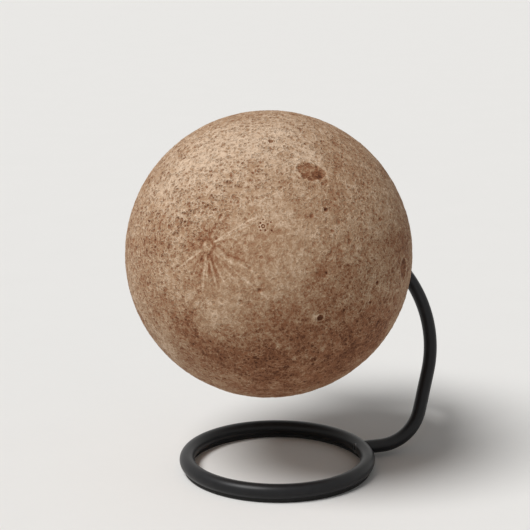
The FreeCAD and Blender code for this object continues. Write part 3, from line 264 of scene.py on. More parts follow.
class MoonSettings(bpy.types.PropertyGroup):
    fineness: IntProperty(
        name="Fineness", description="Times that the ball's triangles are divided",
        default=8, min=5, max=9)
    shell_wall: FloatProperty(
        name="Shell wall", description="Thickness of the printed shell",
        default=2.2 * MM, unit="LENGTH", precision=4)
    sleeve_wall: FloatProperty(
        name="Sleeve wall", description="Thickness of the sleeve inside the opening",
        default=2.0 * MM, unit="LENGTH", precision=4)
    sleeve_length: FloatProperty(
        name="Sleeve length", description="Depth of the sleeve inside the opening",
        default=12.5 * MM, unit="LENGTH", precision=4)
    ground_depth: FloatProperty(
        name="Ground depth", description="Mean level of the ground below the highest rim",
        default=0.42 * MM, unit="LENGTH", precision=5)
    pits: IntProperty(
        name="Small pits", description="Small craters scattered over the ball", default=2600)
    seed: IntProperty(name="Seed", description="Scatter of the small pits", default=11)
    # Umber and brown are redder and more saturated than the lit ground. In part this gives the
    # painted shade at the lower right and bottom its hue.
    umber: FloatVectorProperty(
        name="Umber", description="Darkest floors", subtype="COLOR",
        default=(0.085, 0.029, 0.012))
    brown: FloatVectorProperty(
        name="Brown", description="Dark ground", subtype="COLOR",
        default=(0.238, 0.099, 0.047))
    tan: FloatVectorProperty(
        name="Tan", description="Middle ground", subtype="COLOR",
        default=(0.375, 0.235, 0.140))
    sand: FloatVectorProperty(
        name="Sand", description="Pale ground", subtype="COLOR",
        default=(0.650, 0.485, 0.350))


class StandSettings(bpy.types.PropertyGroup):
    paint: FloatVectorProperty(
        name="Paint", description="Satin paint of the bar", subtype="COLOR",
        default=(0.010, 0.010, 0.011))
    moulding: FloatVectorProperty(
        name="Moulding", description="Rear cap and cover", subtype="COLOR",
        default=(0.016, 0.016, 0.018))


class StageSettings(bpy.types.PropertyGroup):
    floor: FloatVectorProperty(
        name="Floor", description="Colour of the floor", subtype="COLOR",
        default=(0.78, 0.77, 0.75))
    distance: FloatProperty(
        name="Distance", description="Camera to the middle of the moon",
        default=0.8, unit="LENGTH")
    elevation: FloatProperty(
        name="Elevation", description="Camera above the middle of the moon",
        default=math.radians(13.14), subtype="ANGLE")
    lens: FloatProperty(name="Lens", description="Focal length in millimetres", default=104.2)
    key: FloatProperty(name="Key", description="Strength of the key light", default=3.0)
    key_turn: FloatProperty(
        name="Key turn", description="Direction of the key light round the lamp",
        default=math.radians(-54), subtype="ANGLE")
    key_tilt: FloatProperty(
        name="Key tilt", description="Direction of the key light above the lamp",
        default=math.radians(58), subtype="ANGLE")
    softness: FloatProperty(
        name="Softness", description="Width of the key light, seen from the lamp",
        default=math.radians(30), subtype="ANGLE")
    room: FloatProperty(name="Room", description="Strength of the light all round", default=0.22)


class LampSettings(bpy.types.PropertyGroup):
    moon: PointerProperty(type=MoonSettings)
    stand: PointerProperty(type=StandSettings)
    stage: PointerProperty(type=StageSettings)


# ---- the ground of the moon ----


def sum_of_patches(out, patches):
    """Soft bumps summed over the ball; out holds unit vectors."""
    total = np.zeros(len(out))
    for turn, tilt, spread, amount in patches:
        away = MOON_RADIUS * np.arccos(np.clip(out @ towards(turn, tilt), -1, 1))
        total += amount * np.exp(-(away / (spread * MM)) ** 2)
    return total


def blotches(points, width, octaves=3):
    """Fractal noise with blotches about as wide as width."""
    return np.array([noise.fractal(Vector(p / width), 1.0, 2.0, octaves) for p in points])


def flat_view(out, turn, tilt):
    """How far each point is from a spot, in millimetres along the ball, and its bearing there."""
    middle = towards(turn, tilt)
    east = np.cross((0.0, 0.0, 1.0), middle)
    east /= np.linalg.norm(east)
    north = np.cross(middle, east)
    away = np.arccos(np.clip(out @ middle, -1, 1)) * MOON_RADIUS / MM
    return away, np.arctan2(out @ east, out @ north)


def spot_from(turn, tilt, bearing, away):
    """The unit vector of a point at a bearing and a distance in millimetres from a spot."""
    middle = Vector(towards(turn, tilt))
    east = Vector((0, 0, 1)).cross(middle).normalized()
    north = middle.cross(east)
    angle, turned = away * MM / MOON_RADIUS, math.radians(bearing)
    side = north * math.cos(turned) + east * math.sin(turned)
    return np.array(middle * math.cos(angle) + side * math.sin(angle))


def rays(out):
    """Tone of the rayed crater: its rings, the brown wisps round it and its streaks."""
    away, bearing = flat_view(out, *RAY_CRATER)
    total = RAY_MIDDLE_PALE * np.exp(-(away / RAY_MIDDLE) ** 4)
    for distance, width, amount in RAY_RINGS:
        total += amount * np.exp(-((away - distance) / width) ** 2)
    for index in np.flatnonzero(away < WISP_REACH):
        angle, reach = bearing[index], away[index]
        wisp = noise.noise(Vector((WISP_CROWDING * math.cos(angle),
                                   WISP_CROWDING * math.sin(angle), reach / WISP_LENGTH)))
        belt = math.exp(-((reach - WISP_BELT) / WISP_BELT_WIDTH) ** 2)
        total[index] -= WISP_DARK * belt * max(0.0, wisp - WISP_START)
    for angle, start, end, width, amount in STREAKS:
        off = (bearing - math.radians(angle) + math.pi) % (2 * math.pi) - math.pi
        side = away * np.sin(np.clip(off, -math.pi / 2, math.pi / 2))
        onset = np.clip((away - start) / STREAK_ONSET, 0, 1)
        along = onset * np.clip((end - away) / STREAK_FADE, 0, 1)
        total += amount * np.exp(-(side / width) ** 2) * along
    return total


def lay_floors(out, uneven, ground, tone):
    """Lower and darken the ragged floors inside their pale banks."""
    for turn, tilt, long, wide, lean, ragged, dark, depth in FLOORS:
        away, bearing = flat_view(out, turn, tilt)
        off = bearing - math.radians(lean)
        shape = np.hypot(away * np.cos(off) / long, away * np.sin(off) / wide)
        edge = (shape - 1) * math.sqrt(long * wide) + ragged * uneven
        floor = np.clip(0.5 - edge / FLOOR_EDGE, 0, 1)
        bank = np.exp(-((edge - BANK_PLACE) / BANK_WIDTH) ** 2)
        ground += (BANK_HEIGHT * depth * bank - depth * floor) * MM
        tone += BANK_PALE * dark * bank - dark * floor * (1 + FLOOR_UNEVEN * uneven)


def scatter_pits(settings):
    """Seeded small pits, thicker on rough ground: direction, radius and depth in millimetres."""
    scatter = random.Random(settings.seed)
    found = []
    while len(found) < settings.pits:
        way = np.array([scatter.gauss(0, 1) for _ in range(3)])
        way /= np.linalg.norm(way)
        rough = MEAN_ROUGHNESS + sum_of_patches(way[None, :], ROUGH_GROUND)[0]
        radius = PIT_RADIUS + PIT_GROWTH * scatter.paretovariate(PIT_THINNING)
        if scatter.random() < rough:
            found.append((way, min(radius, PIT_LARGEST + PIT_LARGEST_ROUGH * rough),
                          PIT_DEPTH + PIT_DEEPENING * scatter.random()))
    return found


def press_crater(tree, ground, tone, middle, radius, depth, dark):
    """Press one crater with a raised rim into the ground."""
    for _, index, away in tree.find_range(Vector(middle), CRATER_REACH * radius * MM):
        share = away / (radius * MM)
        bowl = max(0.0, 1 - share * share)
        rim = math.exp(-((share - RIM_PLACE) / RIM_WIDTH) ** 2)
        ground[index] += (RIM_HEIGHT * depth * rim - depth * bowl) * MM
        tone[index] += RIM_PALE * dark * rim - dark * min(1.0, DARK_SPREAD * bowl)


def shape_ground(settings, out):
    """Height of the ground, tone and roughness for each unit vector."""
    points = out * MOON_RADIUS
    rough = np.clip(MEAN_ROUGHNESS + sum_of_patches(out, ROUGH_GROUND), LEAST_ROUGHNESS, 1.0)
    swells = blotches(points, SWELLS)
    hills = blotches(points, HILLS)
    grit = blotches(points, GRIT, 2)
    gritty = (GRIT_HEIGHT + GRIT_HEIGHT_ROUGH * rough) * grit
    ground = (SWELL_HEIGHT * swells + HILL_HEIGHT * hills + gritty) * MM
    # Besides the print's own tones, the patches add painted shade towards the lower right and
    # bottom, a painted shade band inside the left edge, and painted highlights along the left
    # edge and on one crater lip.
    tone = MEAN_TONE + sum_of_patches(out, PATCHES_AND_PAINTED_LIGHT) + rays(out)
    tone = tone + SWELL_PALE * swells + HILL_PALE * hills
    lay_floors(out, hills + GRIT_IN_EDGES * grit, ground, tone)
    tree = KDTree(len(points))
    for index, point in enumerate(points):
        tree.insert(Vector(point), index)
    tree.balance()
    for turn, tilt, radius, depth, dark in CRATERS:
        press_crater(tree, ground, tone, towards(turn, tilt) * MOON_RADIUS, radius, depth, dark)
    ring = towards(*PIT_RING) * MOON_RADIUS
    press_crater(tree, ground, tone, ring, *RING_MIDDLE)
    press_crater(tree, ground, tone, ring, *RING_MOUND)
    for bearing, away in RING_PITS:
        spot = spot_from(*PIT_RING, bearing, away) * MOON_RADIUS
        press_crater(tree, ground, tone, spot, *RING_PIT)
    for way, radius, depth in scatter_pits(settings):
        press_crater(tree, ground, tone, way * MOON_RADIUS, radius, depth, PIT_DARK)
    return ground, tone, rough


def round_axle(point):
    """Angle of a point round the axle."""
    return math.atan2(point.co.z, point.co.x)


def extend_ring(bm, ring, radius, reach):
    """Draw a ring on to another radius and station along the axle, and return the new ring."""
    made = []
    for point in ring:
        angle = round_axle(point)
        place = (radius * math.cos(angle), reach, radius * math.sin(angle))
        made.append(bm.verts.new(place, point))
    for index in range(len(ring)):
        bm.faces.new((ring[index - 1], ring[index], made[index], made[index - 1]))
    return made


def make_moon(settings):
    """The printed ball: relief outside, sleeve and smooth wall inside, open at the back."""
    bm = bmesh.new()
    tone_layer = bm.verts.layers.float.new("tone")
    rough_layer = bm.verts.layers.float.new("rough_ground")
    fineness = settings.fineness
    bmesh.ops.create_icosphere(bm, subdivisions=fineness, radius=MOON_RADIUS)
    for turn, tilt, reach in FINE_GROUND:
        middle = Vector(towards(turn, tilt)) * MOON_RADIUS
        inside = {v for v in bm.verts if (v.co - middle).length < reach * MM}
        edges = [e for e in bm.edges if e.verts[0] in inside and e.verts[1] in inside]
        made = bmesh.ops.subdivide_edges(bm, edges=edges, cuts=1, use_grid_fill=True)
        for item in made["geom_inner"]:
            if isinstance(item, bmesh.types.BMVert):
                item.co *= MOON_RADIUS / item.co.length
    bmesh.ops.triangulate(bm, faces=[f for f in bm.faces if len(f.verts) > 3])
    everything = bm.verts[:] + bm.edges[:] + bm.faces[:]
    bmesh.ops.bisect_plane(bm, geom=everything, plane_co=(0, NECK_REACH, 0),
                           plane_no=(0, 1, 0), clear_outer=True)
    rim_points = [v for v in bm.verts if v.is_boundary]
    bmesh.ops.remove_doubles(bm, verts=rim_points, dist=RIM_MERGE)
    bm.verts.ensure_lookup_table()
    places = np.array([v.co[:] for v in bm.verts])
    out = places / np.linalg.norm(places, axis=1)[:, None]
    ground, tone, rough = shape_ground(settings, out)
    from_axle = np.hypot(places[:, 0], places[:, 2])
    seat = GASKET_RADIUS + SEAT_MARGIN
    past_seat = (from_axle - seat) / SEAT_FADE
    free = np.where(places[:, 1] > 0, np.clip(past_seat, 0, 1), 1.0)
    depth = np.clip(settings.ground_depth - ground, 0, None) * free
    shares = 1 - depth / MOON_RADIUS
    for vert, share, pale, uneven in zip(bm.verts, shares, np.clip(tone, 0, 1), rough):
        vert.co *= share
        vert[tone_layer] = pale
        vert[rough_layer] = uneven
    ring = sorted((v for v in bm.verts if v.is_boundary), key=round_axle)
    for vert in ring:
        angle = round_axle(vert)
        vert.co = (NECK_RADIUS * math.cos(angle), NECK_REACH, NECK_RADIUS * math.sin(angle))
    inner = MOON_RADIUS - settings.shell_wall
    sleeve = NECK_RADIUS + settings.sleeve_wall
    sleeve_end = NECK_REACH - settings.sleeve_length
    root = math.sqrt(inner ** 2 - sleeve ** 2)
    for radius, reach in ((NECK_RADIUS, sleeve_end), (sleeve, sleeve_end), (sleeve, root)):
        ring = extend_ring(bm, ring, radius, reach)
    start = math.atan2(sleeve, root)
    for step in range(1, INNER_STEPS - 1):
        angle = start + (math.pi - start) * step / INNER_STEPS
        ring = extend_ring(bm, ring, inner * math.sin(angle), inner * math.cos(angle))
    tip = bm.verts.new((0, -inner, 0), ring[0])
    for index in range(len(ring)):
        bm.faces.new((ring[index - 1], ring[index], tip))
    bmesh.ops.recalc_face_normals(bm, faces=bm.faces[:])
    for face in bm.faces:
        face.smooth = True
    mesh = bpy.data.meshes.new("moon_relief")
    bm.to_mesh(mesh)
    bm.free()
    mesh.transform(Matrix.Translation(MOON_MIDDLE))
    piece = bpy.data.objects.new("moon_relief", mesh)
    bpy.context.scene.collection.objects.link(piece)
    return piece


# ---- finishes ----

# Widths of the marks on the printed ball, and what each adds to the tone, from its darkest to
# its palest.
CLOUDS, MOTTLE, SPECKS = 7 * MM, 2.4 * MM, 0.7 * MM
CLOUD_TONE, MOTTLE_TONE, SPECK_TONE = (-0.16, 0.16), (-0.30, 0.30), (-0.16, 0.16)
SMALL_PITS, LARGE_PITS, THREADS = 1.7 * MM, 3.1 * MM, 3.4 * MM
SMALL_PIT_TONE, LARGE_PIT_TONE, THREAD_TONE = (-0.21, 0.37), (-0.14, 0.24), (-0.03, 0.15)
THREAD_THINNESS = 0.045

# Strength of the pits on smooth ground, and what rough ground adds. Shares of the marks in the
# bump, and its depth.
PIT_STRENGTH, PIT_STRENGTH_ROUGH = 0.08, 0.80
SMALL_PIT_BUMP, MOTTLE_BUMP, SPECK_BUMP = 0.6, 0.5, 0.2
PRINT_BUMP = 0.52 * MM

# Pits in a finish: crowding and detail of the noise that moves them, how far it moves them, how
# much their sizes differ, how far they reach, and their profile from the middle outwards.
WANDER_CROWDING, WANDER_DETAIL, WANDER_REACH = 1.6, 1.0, 0.8
SIZE_SPREAD, PIT_SPAN = 0.25, 0.45
PIT_PROFILE = [(0.0, 0.0), (0.34, 0.06), (0.60, 0.92), (0.90, 0.5), (1.0, 0.5)]

# Plain finishes: width of the mottle in grains, shares of mottle and grain in the colour, and
# where between them the darkest and the palest colour lie.
MOTTLE_GRAINS, MOTTLE_SHARE, GRAIN_SHARE = 9, 0.6, 0.4
DARKEST_AT, PALEST_AT = 0.3, 0.7


class Finish:
    """A material whose nodes are laid down one by one."""

    def __init__(self, name):
        self.material = bpy.data.materials.new(name)
        self.material.use_nodes = True
        self.tree = self.material.node_tree
        self.shader = self.tree.nodes["Principled BSDF"]
        self.place = self.add("ShaderNodeTexCoord").outputs["Object"]

    def add(self, kind, **values):
        node = self.tree.nodes.new(kind)
        for name, value in values.items():
            setattr(node, name, value)
        return node

    def join(self, source, target):
        self.tree.links.new(source, target)

    def grain(self, width, detail=3.0, stretch=(1, 1, 1), distortion=0.0):
        """Noise with blotches about as wide as width, longer where stretch is over 1."""
        mapping = self.add("ShaderNodeMapping")
        mapping.inputs["Scale"].default_value = [1 / (width * s) for s in stretch]
        self.join(self.place, mapping.inputs["Vector"])
        texture = self.add("ShaderNodeTexNoise")
        texture.inputs["Scale"].default_value = 1.0
        texture.inputs["Detail"].default_value = detail
        texture.inputs["Distortion"].default_value = distortion
        self.join(mapping.outputs["Vector"], texture.inputs["Vector"])
        return texture.outputs["Fac"]

    def pits(self, width, place):
        """Pits about width apart: level ground at 0.5, dark floors, pale rims. Each place in
        the noise gives another scatter."""
        mapping = self.add("ShaderNodeMapping")
        mapping.inputs["Location"].default_value = (place,) * 3
        mapping.inputs["Scale"].default_value = (1 / width,) * 3
        self.join(self.place, mapping.inputs["Vector"])
        wander = self.add("ShaderNodeTexNoise")
        wander.inputs["Scale"].default_value = WANDER_CROWDING
        wander.inputs["Detail"].default_value = WANDER_DETAIL
        self.join(mapping.outputs["Vector"], wander.inputs["Vector"])
        moved = self.add("ShaderNodeVectorMath", operation="MULTIPLY_ADD")
        moved.inputs[1].default_value = (WANDER_REACH,) * 3
        self.join(wander.outputs["Color"], moved.inputs[0])
        self.join(mapping.outputs["Vector"], moved.inputs[2])
        spots = self.add("ShaderNodeTexVoronoi")
        spots.inputs["Scale"].default_value = 1.0
        self.join(moved.outputs["Vector"], spots.inputs["Vector"])
        parts = self.add("ShaderNodeSeparateColor")
        self.join(spots.outputs["Color"], parts.inputs["Color"])
        reach = self.sums("MULTIPLY", parts.outputs["Red"], -SIZE_SPREAD)
        edge = self.sums("ADD", spots.outputs["Distance"], reach)
        node = self.add("ShaderNodeMapRange")
        node.inputs["From Min"].default_value = 0.0
        node.inputs["From Max"].default_value = PIT_SPAN
        self.join(edge, node.inputs["Value"])
        greys = [(at, (grey,) * 3) for at, grey in PIT_PROFILE]
        return self.ramp(node.outputs["Result"], greys)

    def threads(self, width, thin):
        """Pale threads, 1 on a thread and 0 between, winding about width apart."""
        middle = self.sums("SUBTRACT", self.grain(width, 3.0, distortion=0.8), 0.5)
        node = self.add("ShaderNodeMapRange")
        node.inputs["From Max"].default_value = thin
        node.inputs["To Min"].default_value = 1.0
        node.inputs["To Max"].default_value = 0.0
        self.join(self.sums("ABSOLUTE", middle, 0.0), node.inputs["Value"])
        return node.outputs["Result"]

    def ramp(self, value, stops):
        node = self.add("ShaderNodeValToRGB")
        elements = node.color_ramp.elements
        while len(elements) < len(stops):
            elements.new(1.0)
        for element, (place, colour) in zip(elements, stops):
            element.position = place
            element.color = (*colour, 1.0)
        self.join(value, node.inputs["Fac"])
        return node.outputs["Color"]

    def sums(self, operation, first, second):
        node = self.add("ShaderNodeMath", operation=operation)
        for socket, value in zip(node.inputs, (first, second)):
            if isinstance(value, (int, float)):
                socket.default_value = value
            else:
                self.join(value, socket)
        return node.outputs["Value"]

    def between(self, value, low, high):
        """Carry 0 to 1 over to low to high."""
        node = self.add("ShaderNodeMapRange")
        node.inputs["To Min"].default_value = low
        node.inputs["To Max"].default_value = high
        self.join(value, node.inputs["Value"])
        return node.outputs["Result"]

    def bump(self, height, depth):
        """Raise the surface by depth where height is 1."""
        node = self.add("ShaderNodeBump")
        node.inputs["Distance"].default_value = depth
        node.inputs["Strength"].default_value = 1.0
        self.join(height, node.inputs["Height"])
        self.join(node.outputs["Normal"], self.shader.inputs["Normal"])


def plain_finish(name, dark, light, rough, width, depth, metal=0.0, stretch=(1, 1, 1),
                 gloss=0.5):
    """A finish with mottled colour, uneven gloss and a grain, as most of the pieces have."""
    finish = Finish(name)
    mottle = finish.grain(width * MOTTLE_GRAINS, 4.0)
    grain = finish.grain(width, 3.0, stretch)
    mixed = finish.sums("ADD", finish.sums("MULTIPLY", mottle, MOTTLE_SHARE),
                        finish.sums("MULTIPLY", grain, GRAIN_SHARE))
    finish.join(finish.ramp(mixed, [(DARKEST_AT, dark), (PALEST_AT, light)]),
                finish.shader.inputs["Base Color"])
    finish.join(finish.between(mixed, *rough), finish.shader.inputs["Roughness"])
    finish.shader.inputs["Metallic"].default_value = metal
    finish.shader.inputs["Specular IOR Level"].default_value = gloss
    finish.bump(grain, depth)
    return finish.material


def shaded(colour, share):
    return tuple(channel * share for channel in colour)


def moon_print(settings):
    """Printed relief: umber to sand by tone, mottled, and pitted where the ground is rough."""
    finish = Finish("moon_print")
    tone = finish.add("ShaderNodeAttribute", attribute_name="tone").outputs["Fac"]
    rough = finish.add("ShaderNodeAttribute", attribute_name="rough_ground").outputs["Fac"]
    clouds = finish.grain(CLOUDS, 5.0)
    mottle = finish.grain(MOTTLE, 4.0, distortion=0.6)
    specks = finish.grain(SPECKS, 2.0)
    small = finish.pits(SMALL_PITS, 3.7)
    large = finish.pits(LARGE_PITS, 9.2)
    threads = finish.threads(THREADS, THREAD_THINNESS)
    pitted = finish.sums("ADD", finish.between(small, *SMALL_PIT_TONE),
                         finish.between(large, *LARGE_PIT_TONE))
    weight = finish.sums("ADD", finish.sums("MULTIPLY", rough, PIT_STRENGTH_ROUGH),
                         PIT_STRENGTH)
    value = finish.sums("ADD", tone, finish.between(clouds, *CLOUD_TONE))
    for part in (finish.between(mottle, *MOTTLE_TONE), finish.between(specks, *SPECK_TONE),
                 finish.between(threads, *THREAD_TONE),
                 finish.sums("MULTIPLY", pitted, weight)):
        value = finish.sums("ADD", value, part)
    colour = finish.ramp(value, [
        (0.05, settings.umber), (0.34, settings.brown), (0.62, settings.tan),
        (1.00, settings.sand)])
    finish.join(colour, finish.shader.inputs["Base Color"])
    finish.join(finish.between(mottle, 0.66, 0.86), finish.shader.inputs["Roughness"])
    finish.shader.inputs["Specular IOR Level"].default_value = 0.15
    relief = finish.sums("ADD", finish.sums("MULTIPLY", small, SMALL_PIT_BUMP), large)
    height = finish.sums("ADD", finish.sums("MULTIPLY", relief, weight),
                         finish.sums("MULTIPLY", mottle, MOTTLE_BUMP))
    height = finish.sums("ADD", height, finish.sums("MULTIPLY", specks, SPECK_BUMP))
    finish.bump(height, PRINT_BUMP)
    return finish.material


def painted_bar(settings):
    """Satin powder coat with a fine orange peel."""
    paint = tuple(settings.paint)
    return plain_finish("painted_bar", shaded(paint, 0.8), shaded(paint, 1.35),
                        (0.30, 0.46), 0.5 * MM, 0.012 * MM, gloss=0.22)


def moulded_black(settings):
    """Black moulding with a spark-eroded grain."""
    colour = tuple(settings.moulding)
    return plain_finish("cap_plastic", shaded(colour, 0.8), shaded(colour, 1.3),
                        (0.46, 0.62), 0.25 * MM, 0.02 * MM, gloss=0.28)


def black_rubber():
    return plain_finish("rubber", (0.014, 0.014, 0.014), (0.030, 0.029, 0.028),
                        (0.70, 0.90), 0.4 * MM, 0.03 * MM, gloss=0.25)


def black_screw_steel():
    return plain_finish("screw_steel", (0.07, 0.07, 0.075), (0.15, 0.15, 0.155),
                        (0.30, 0.46), 0.15 * MM, 0.006 * MM, 1.0, (1, 6, 1))


def turned_steel():
    return plain_finish("axle_steel", (0.50, 0.50, 0.50), (0.66, 0.66, 0.65),
                        (0.22, 0.38), 0.12 * MM, 0.004 * MM, 1.0, (6, 0.6, 6))


def drawn_steel():
    return plain_finish("socket_steel", (0.46, 0.46, 0.47), (0.62, 0.62, 0.62),
                        (0.24, 0.36), 0.12 * MM, 0.004 * MM, 1.0, (1, 5, 1))


def sink_aluminium():
    return plain_finish("sink_aluminium", (0.66, 0.66, 0.67), (0.80, 0.80, 0.81),
                        (0.30, 0.45), 0.15 * MM, 0.005 * MM, 1.0, (5, 1, 5))


def natural_nylon():
    return plain_finish("nylon", (0.74, 0.73, 0.68), (0.84, 0.83, 0.79),
                        (0.42, 0.56), 0.4 * MM, 0.006 * MM)


def button_plastic():
    return plain_finish("button_plastic", (0.045, 0.045, 0.048), (0.075, 0.075, 0.080),
                        (0.30, 0.42), 0.3 * MM, 0.008 * MM)


def board_laminate():
    return plain_finish("board_laminate", (0.012, 0.085, 0.040), (0.025, 0.140, 0.070),
                        (0.22, 0.36), 0.3 * MM, 0.006 * MM)


def light_chip_phosphor():
    return plain_finish("light_chips", (0.76, 0.56, 0.11), (0.88, 0.68, 0.17),
                        (0.40, 0.55), 0.2 * MM, 0.005 * MM)


def opal_plastic():
    return plain_finish("opal_plastic", (0.84, 0.82, 0.77), (0.91, 0.89, 0.85),
                        (0.34, 0.48), 0.5 * MM, 0.004 * MM)


def cell_wrap():
    return plain_finish("cell_wrap", (0.035, 0.12, 0.32), (0.055, 0.17, 0.42),
                        (0.18, 0.30), 0.8 * MM, 0.010 * MM)


def dark_foam():
    return plain_finish("foam", (0.05, 0.05, 0.05), (0.11, 0.11, 0.105),
                        (0.85, 0.98), 0.5 * MM, 0.12 * MM)


def clear_pipe():
    return plain_finish("clear_pipe", (0.68, 0.71, 0.73), (0.78, 0.80, 0.82),
                        (0.08, 0.18), 0.5 * MM, 0.003 * MM)


def switch_plastic():
    return plain_finish("switch_plastic", (0.022, 0.022, 0.022), (0.038, 0.038, 0.038),
                        (0.28, 0.40), 0.25 * MM, 0.006 * MM)


def dress(material, *nodes):
    """Give frame pieces a finish."""
    for node in nodes:
        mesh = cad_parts[node].data
        mesh.materials.clear()
        mesh.materials.append(material)


# ---- operators ----


class MOONLAMP_OT_moon(bpy.types.Operator):
    """Make the printed moon with its relief, in place of the plain shell"""
    bl_idname = "moon_lamp.moon"
    bl_label = "Moon"

    def execute(self, context):
        settings = context.scene.moon_lamp.moon
        piece = make_moon(settings)
        piece.data.materials.append(moon_print(settings))
        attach(piece, "head")
        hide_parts("moon_shell")
        return {"FINISHED"}


class MOONLAMP_OT_stand(bpy.types.Operator):
    """Finish the ring, the arm, the hub and their rubber, screws and bushings"""
    bl_idname = "moon_lamp.stand"
    bl_label = "Stand"

    def execute(self, context):
        settings = context.scene.moon_lamp.stand
        dress(painted_bar(settings), "base_ring", "arm", "hub")
        dress(black_rubber(), "foot_ring", "neck_gasket")
        dress(black_screw_steel(), "arm_screw", "hub_grub_screw", "cap_screws", "axle_screws",
              "board_screws")
        dress(natural_nylon(), "bushing_front", "bushing_rear", "thrust_washer")
        return {"FINISHED"}


class MOONLAMP_OT_axle(bpy.types.Operator):
    """Finish the axle, its washers and its nut"""
    bl_idname = "moon_lamp.axle"
    bl_label = "Axle"

    def execute(self, context):
        dress(turned_steel(), "axle", "flat_washer", "spring_washer", "lock_nut")
        return {"FINISHED"}


class MOONLAMP_OT_cap(bpy.types.Operator):
    """Finish the rear cap, its button, its charging socket and the mouldings inside"""
    bl_idname = "moon_lamp.cap"
    bl_label = "Rear cap"

    def execute(self, context):
        settings = context.scene.moon_lamp.stand
        dress(moulded_black(settings), "rear_cap", "neck_ring", "axle_cover", "led_column")
        dress(button_plastic(), "power_button")
        dress(drawn_steel(), "charging_socket")
        dress(clear_pipe(), "light_pipe")
        return {"FINISHED"}


class MOONLAMP_OT_inside(bpy.types.Operator):
    """Finish the boards, the cell and the light source"""
    bl_idname = "moon_lamp.inside"
    bl_label = "Inside"

    def execute(self, context):
        dress(board_laminate(), "control_board", "led_board")
        dress(switch_plastic(), "tactile_switch")
        dress(cell_wrap(), "battery")
        dress(dark_foam(), "battery_spacers", "battery_pads")
        dress(sink_aluminium(), "heat_sink")
        dress(light_chip_phosphor(), "led_chips")
        dress(opal_plastic(), "diffuser")
        return {"FINISHED"}


# Half the width of the floor, width of the camera's sensor in millimetres, and the shift that
# frames the lamp.
FLOOR_HALF = 30.0
SENSOR_WIDTH = 36
SHIFT = (-0.0070, -0.0208)


def make_floor(settings):
    """A wide pale floor under the lamp."""
    mesh = bpy.data.meshes.new("floor")
    corners = [(x * FLOOR_HALF, y * FLOOR_HALF, 0.0)
               for x, y in ((-1, -1), (1, -1), (1, 1), (-1, 1))]
    mesh.from_pydata(corners, [], [(0, 1, 2, 3)])
    colour = tuple(settings.floor)
    mesh.materials.append(plain_finish("floor", shaded(colour, 0.985), colour,
                                       (0.75, 0.85), 6 * MM, 0.01 * MM))
    floor = bpy.data.objects.new("floor", mesh)
    bpy.context.scene.collection.objects.link(floor)


def make_key(settings):
    """A broad soft light from the upper left."""
    data = bpy.data.lights.new("key", "SUN")
    data.energy = settings.key
    data.angle = settings.softness
    lamp = bpy.data.objects.new("key", data)
    way = Vector(towards(math.degrees(settings.key_turn), math.degrees(settings.key_tilt)))
    lamp.location = MOON_MIDDLE + way
    lamp.rotation_euler = way.to_track_quat("Z", "Y").to_euler()
    bpy.context.scene.collection.objects.link(lamp)


def make_room(settings):
    """White light all round, with the pale colour of the floor behind the lamp."""
    world = bpy.data.worlds.new("studio")
    world.use_nodes = True
    nodes, links = world.node_tree.nodes, world.node_tree.links
    room = nodes["Background"]
    room.inputs["Color"].default_value = (1, 1, 1, 1)
    room.inputs["Strength"].default_value = settings.room
    backdrop = nodes.new("ShaderNodeBackground")
    backdrop.inputs["Color"].default_value = (*settings.floor, 1)
    seen = nodes.new("ShaderNodeLightPath")
    either = nodes.new("ShaderNodeMixShader")
    shown = seen.outputs["Is Camera Ray"]
    for name in ("Is Glossy Ray", "Is Transmission Ray"):
        larger = nodes.new("ShaderNodeMath")
        larger.operation = "MAXIMUM"
        links.new(shown, larger.inputs[0])
        links.new(seen.outputs[name], larger.inputs[1])
        shown = larger.outputs["Value"]
    links.new(shown, either.inputs["Fac"])
    links.new(room.outputs["Background"], either.inputs[1])
    links.new(backdrop.outputs["Background"], either.inputs[2])
    links.new(either.outputs["Shader"], nodes["World Output"].inputs["Surface"])
    return world


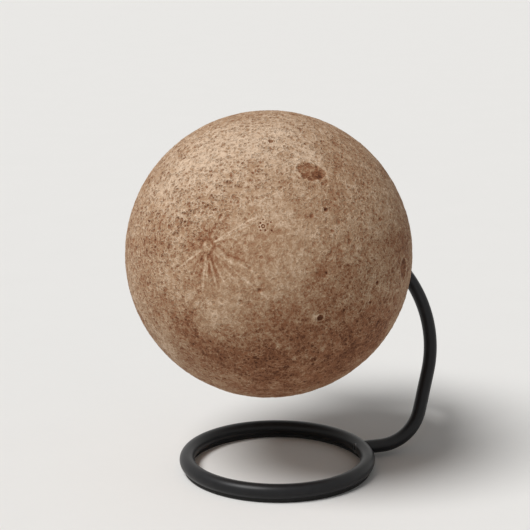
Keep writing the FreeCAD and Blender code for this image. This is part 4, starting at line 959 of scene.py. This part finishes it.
class MOONLAMP_OT_stage(bpy.types.Operator):
    """Make the floor, the lamps and the camera"""
    bl_idname = "moon_lamp.stage"
    bl_label = "Stage"

    def execute(self, context):
        scene = context.scene
        settings = scene.moon_lamp.stage
        make_floor(settings)
        make_key(settings)
        scene.world = make_room(settings)
        data = bpy.data.cameras.new("camera")
        data.lens = settings.lens
        data.sensor_width = SENSOR_WIDTH
        data.shift_x, data.shift_y = SHIFT
        camera = bpy.data.objects.new("camera", data)
        back = Vector((0, -math.cos(settings.elevation), math.sin(settings.elevation)))
        camera.location = MOON_MIDDLE + back * settings.distance
        camera.rotation_euler = (-back).to_track_quat("-Z", "Y").to_euler()
        scene.collection.objects.link(camera)
        scene.camera = camera
        scene.view_settings.view_transform = "Standard"
        return {"FINISHED"}


class MOONLAMP_PT_panel(bpy.types.Panel):
    """Lists the pieces of the lamp"""
    bl_idname = "MOONLAMP_PT_panel"
    bl_label = "Moon lamp"
    bl_space_type = "VIEW_3D"
    bl_region_type = "UI"
    bl_category = "Moon lamp"

    def draw(self, context):
        for operator in OPERATORS:
            self.layout.operator(operator.bl_idname)
        settings = context.scene.moon_lamp
        for group in (settings.moon, settings.stand, settings.stage):
            box = self.layout.box()
            for name in group.__annotations__:
                box.prop(group, name)


SETTINGS = (MoonSettings, StandSettings, StageSettings, LampSettings)
OPERATORS = (MOONLAMP_OT_moon, MOONLAMP_OT_stand, MOONLAMP_OT_axle, MOONLAMP_OT_cap,
             MOONLAMP_OT_inside, MOONLAMP_OT_stage)


def register():
    for item in (*SETTINGS, *OPERATORS, MOONLAMP_PT_panel):
        bpy.utils.register_class(item)
    bpy.types.Scene.moon_lamp = PointerProperty(type=LampSettings)


def unregister():
    del bpy.types.Scene.moon_lamp
    for item in reversed((*SETTINGS, *OPERATORS, MOONLAMP_PT_panel)):
        bpy.utils.unregister_class(item)


def main():
    register()
    bpy.ops.moon_lamp.moon()
    bpy.ops.moon_lamp.stand()
    bpy.ops.moon_lamp.axle()
    bpy.ops.moon_lamp.cap()
    bpy.ops.moon_lamp.inside()
    bpy.ops.moon_lamp.stage()


if __name__ == "__main__":
    main()
